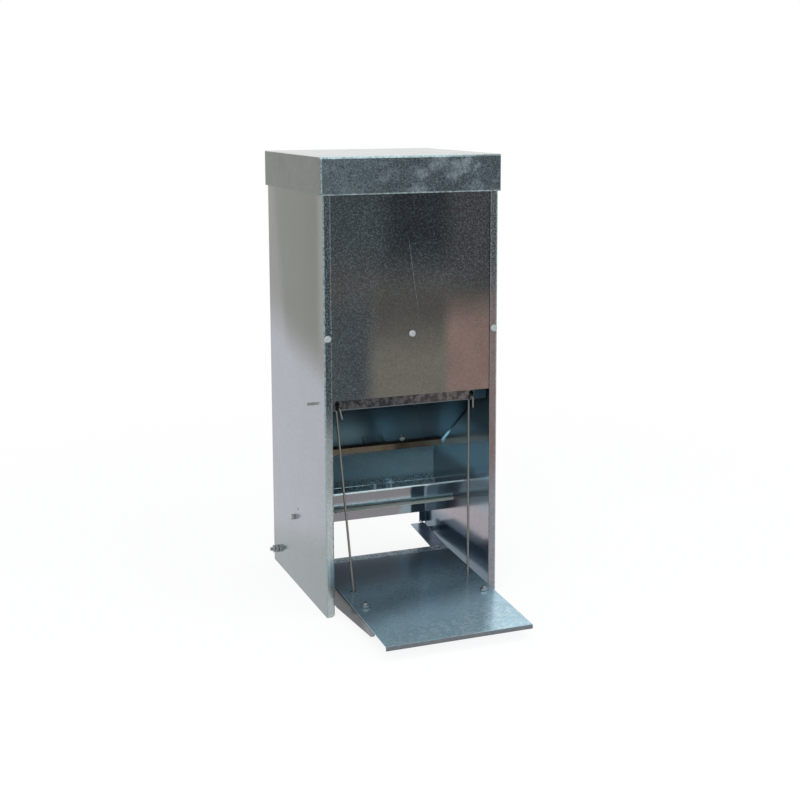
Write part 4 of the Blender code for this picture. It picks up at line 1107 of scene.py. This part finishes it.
# %% Stud and bolt in the trough
STUD_THREAD, TROUGH_THREAD = (0.0022, 0.0007), (0.0018, 0.0007)
TROUGH_HEAD, TROUGH_FLATS = 0.0035, 0.009
low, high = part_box("trough_stud")
stud = stood(threaded(*STUD_THREAD, high.z - low.z), middle("trough_stud", z=low.z))
print("stud", fastener("trough_stud", stud, ROUND_SMOOTH, STUD))
low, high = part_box("trough_bolt")
shank = high.z - low.z - TROUGH_HEAD
head = stood(six_sided(TROUGH_FLATS, TROUGH_HEAD), (0, 0, shank))
bolt = joined(threaded(*TROUGH_THREAD, shank), head)
bolt = stood(bolt, middle("trough_bolt", z=low.z))
print("trough bolt", fastener("trough_bolt", bolt, finish=STUD))

# %% [markdown]
# ### Screw of the counterweight
#
# One screw holds the flat bar on top of the flap, and its nut shows under the flap. They stand at
# a right angle to the flap, which is tilted at rest.

# %% Counterweight's screw and nut
FLAP_TILT = math.radians(36.57)
FLAP_UP = Vector((0, math.sin(FLAP_TILT), math.cos(FLAP_TILT)))
WEIGHT_NUT, WEIGHT_GRIP, WEIGHT_TIP = 0.0032, 0.0115, 0.0026
WEIGHT_FLATS, WEIGHT_HEAD = 0.007, (0.0042, 0.0026)
centre = middle("counterweight_nut")
nut = stood(six_sided(WEIGHT_FLATS, WEIGHT_NUT), centre - FLAP_UP * (WEIGHT_NUT / 2), FLAP_UP)
print("weight's nut", fastener("counterweight_nut", nut, finish=PALE))
shank = stood(threaded(*M4, WEIGHT_GRIP + WEIGHT_TIP), (0, 0, 0), DOWN)
screw = stood(joined(domed_head(*WEIGHT_HEAD), shank), centre + FLAP_UP * WEIGHT_GRIP, FLAP_UP)
print("weight's screw", fastener("counterweight_screw", screw))

# %% [markdown]
# ### Rivets
#
# Rivets hold the back sheet and the trough. A rivet is one turned line: a low dome, the shank,
# and the same dome the other way round.

# %% Rivets of the back sheet and the trough
RIVET_STEPS = 24
RIVET_HEAD = [(0, 0), (0.0014, 0.0001), (0.0027, 0.0005)]
RIVET_HEAD += [(0.0034, 0.0009), (0.0035, 0.0012), (0.0016, 0.0012)]
for node in frame["nodes"]:
    if "rivet" in node:
        low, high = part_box(node)
        length = high.y - low.y
        far_head = [(radius, length - height) for radius, height in reversed(RIVET_HEAD)]
        rivet = turned(RIVET_HEAD + far_head, RIVET_STEPS)
        print(node, fastener(node, stood(rivet, middle(node, y=low.y), (0, 1, 0))))

# %% [markdown]
# ## Wires and bar
#
# The flap's axle and the two pull rods are drawn wire, and the axle is zinc plated. The axle is
# straight, so it is turned. The rods are copies of their CAD nodes with one step of subdivision,
# which rounds their bends. The counterweight is a cut flat bar with broken edges.

# %% Axle, pull rods and counterweight
AXLE_RADIUS = 0.002
ROD_EDGE, ROD_ANGLE = 0.0003, 60
BAR_EDGE, BAR_SEGMENTS = 0.0006, 2
low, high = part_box("flap_pivot_rod")
length = high.x - low.x
axle = turned([(0, 0)] + rod_profile(AXLE_RADIUS, length) + [(0, length)])
axle = stood(axle, middle("flap_pivot_rod", x=low.x), (1, 0, 0))
piece("flap_axle", axle, "flap_pivot_rod", AXLE)
for side in ("left", "right"):
    node = "pull_rod_" + side
    shape = soften(copy_of(node), ROD_EDGE, ROD_ANGLE)
    rod = piece(side + "_pull_rod", shape, node, WIRE, ROUND_SMOOTH)
    rounded = rod.modifiers.new("rounded", "SUBSURF")
    rounded.levels = rounded.render_levels = 1
shape = soften(copy_of("counterweight"), BAR_EDGE, segments=BAR_SEGMENTS)
piece("flat_bar", shape, "counterweight", BAR)
print("the axle is", round(length, 4), "m long")

# %% [markdown]
# ## The CAD solids behind the pieces
#
# Every CAD node is now replaced by a piece, and its solid stays behind it in the frame. It gets
# the finish of its slot too, so that solid and piece agree wherever a solid is shown.

# %% A finish for every CAD node
for node, thing in frame["nodes"].items():
    slot = SLOT_OF[node]
    thing.data.materials.clear()
    thing.data.materials.append(OTHER_FINISH.get(slot) or SHEET_FINISH[slot])
print(len(frame["nodes"]), "CAD nodes have a finish")
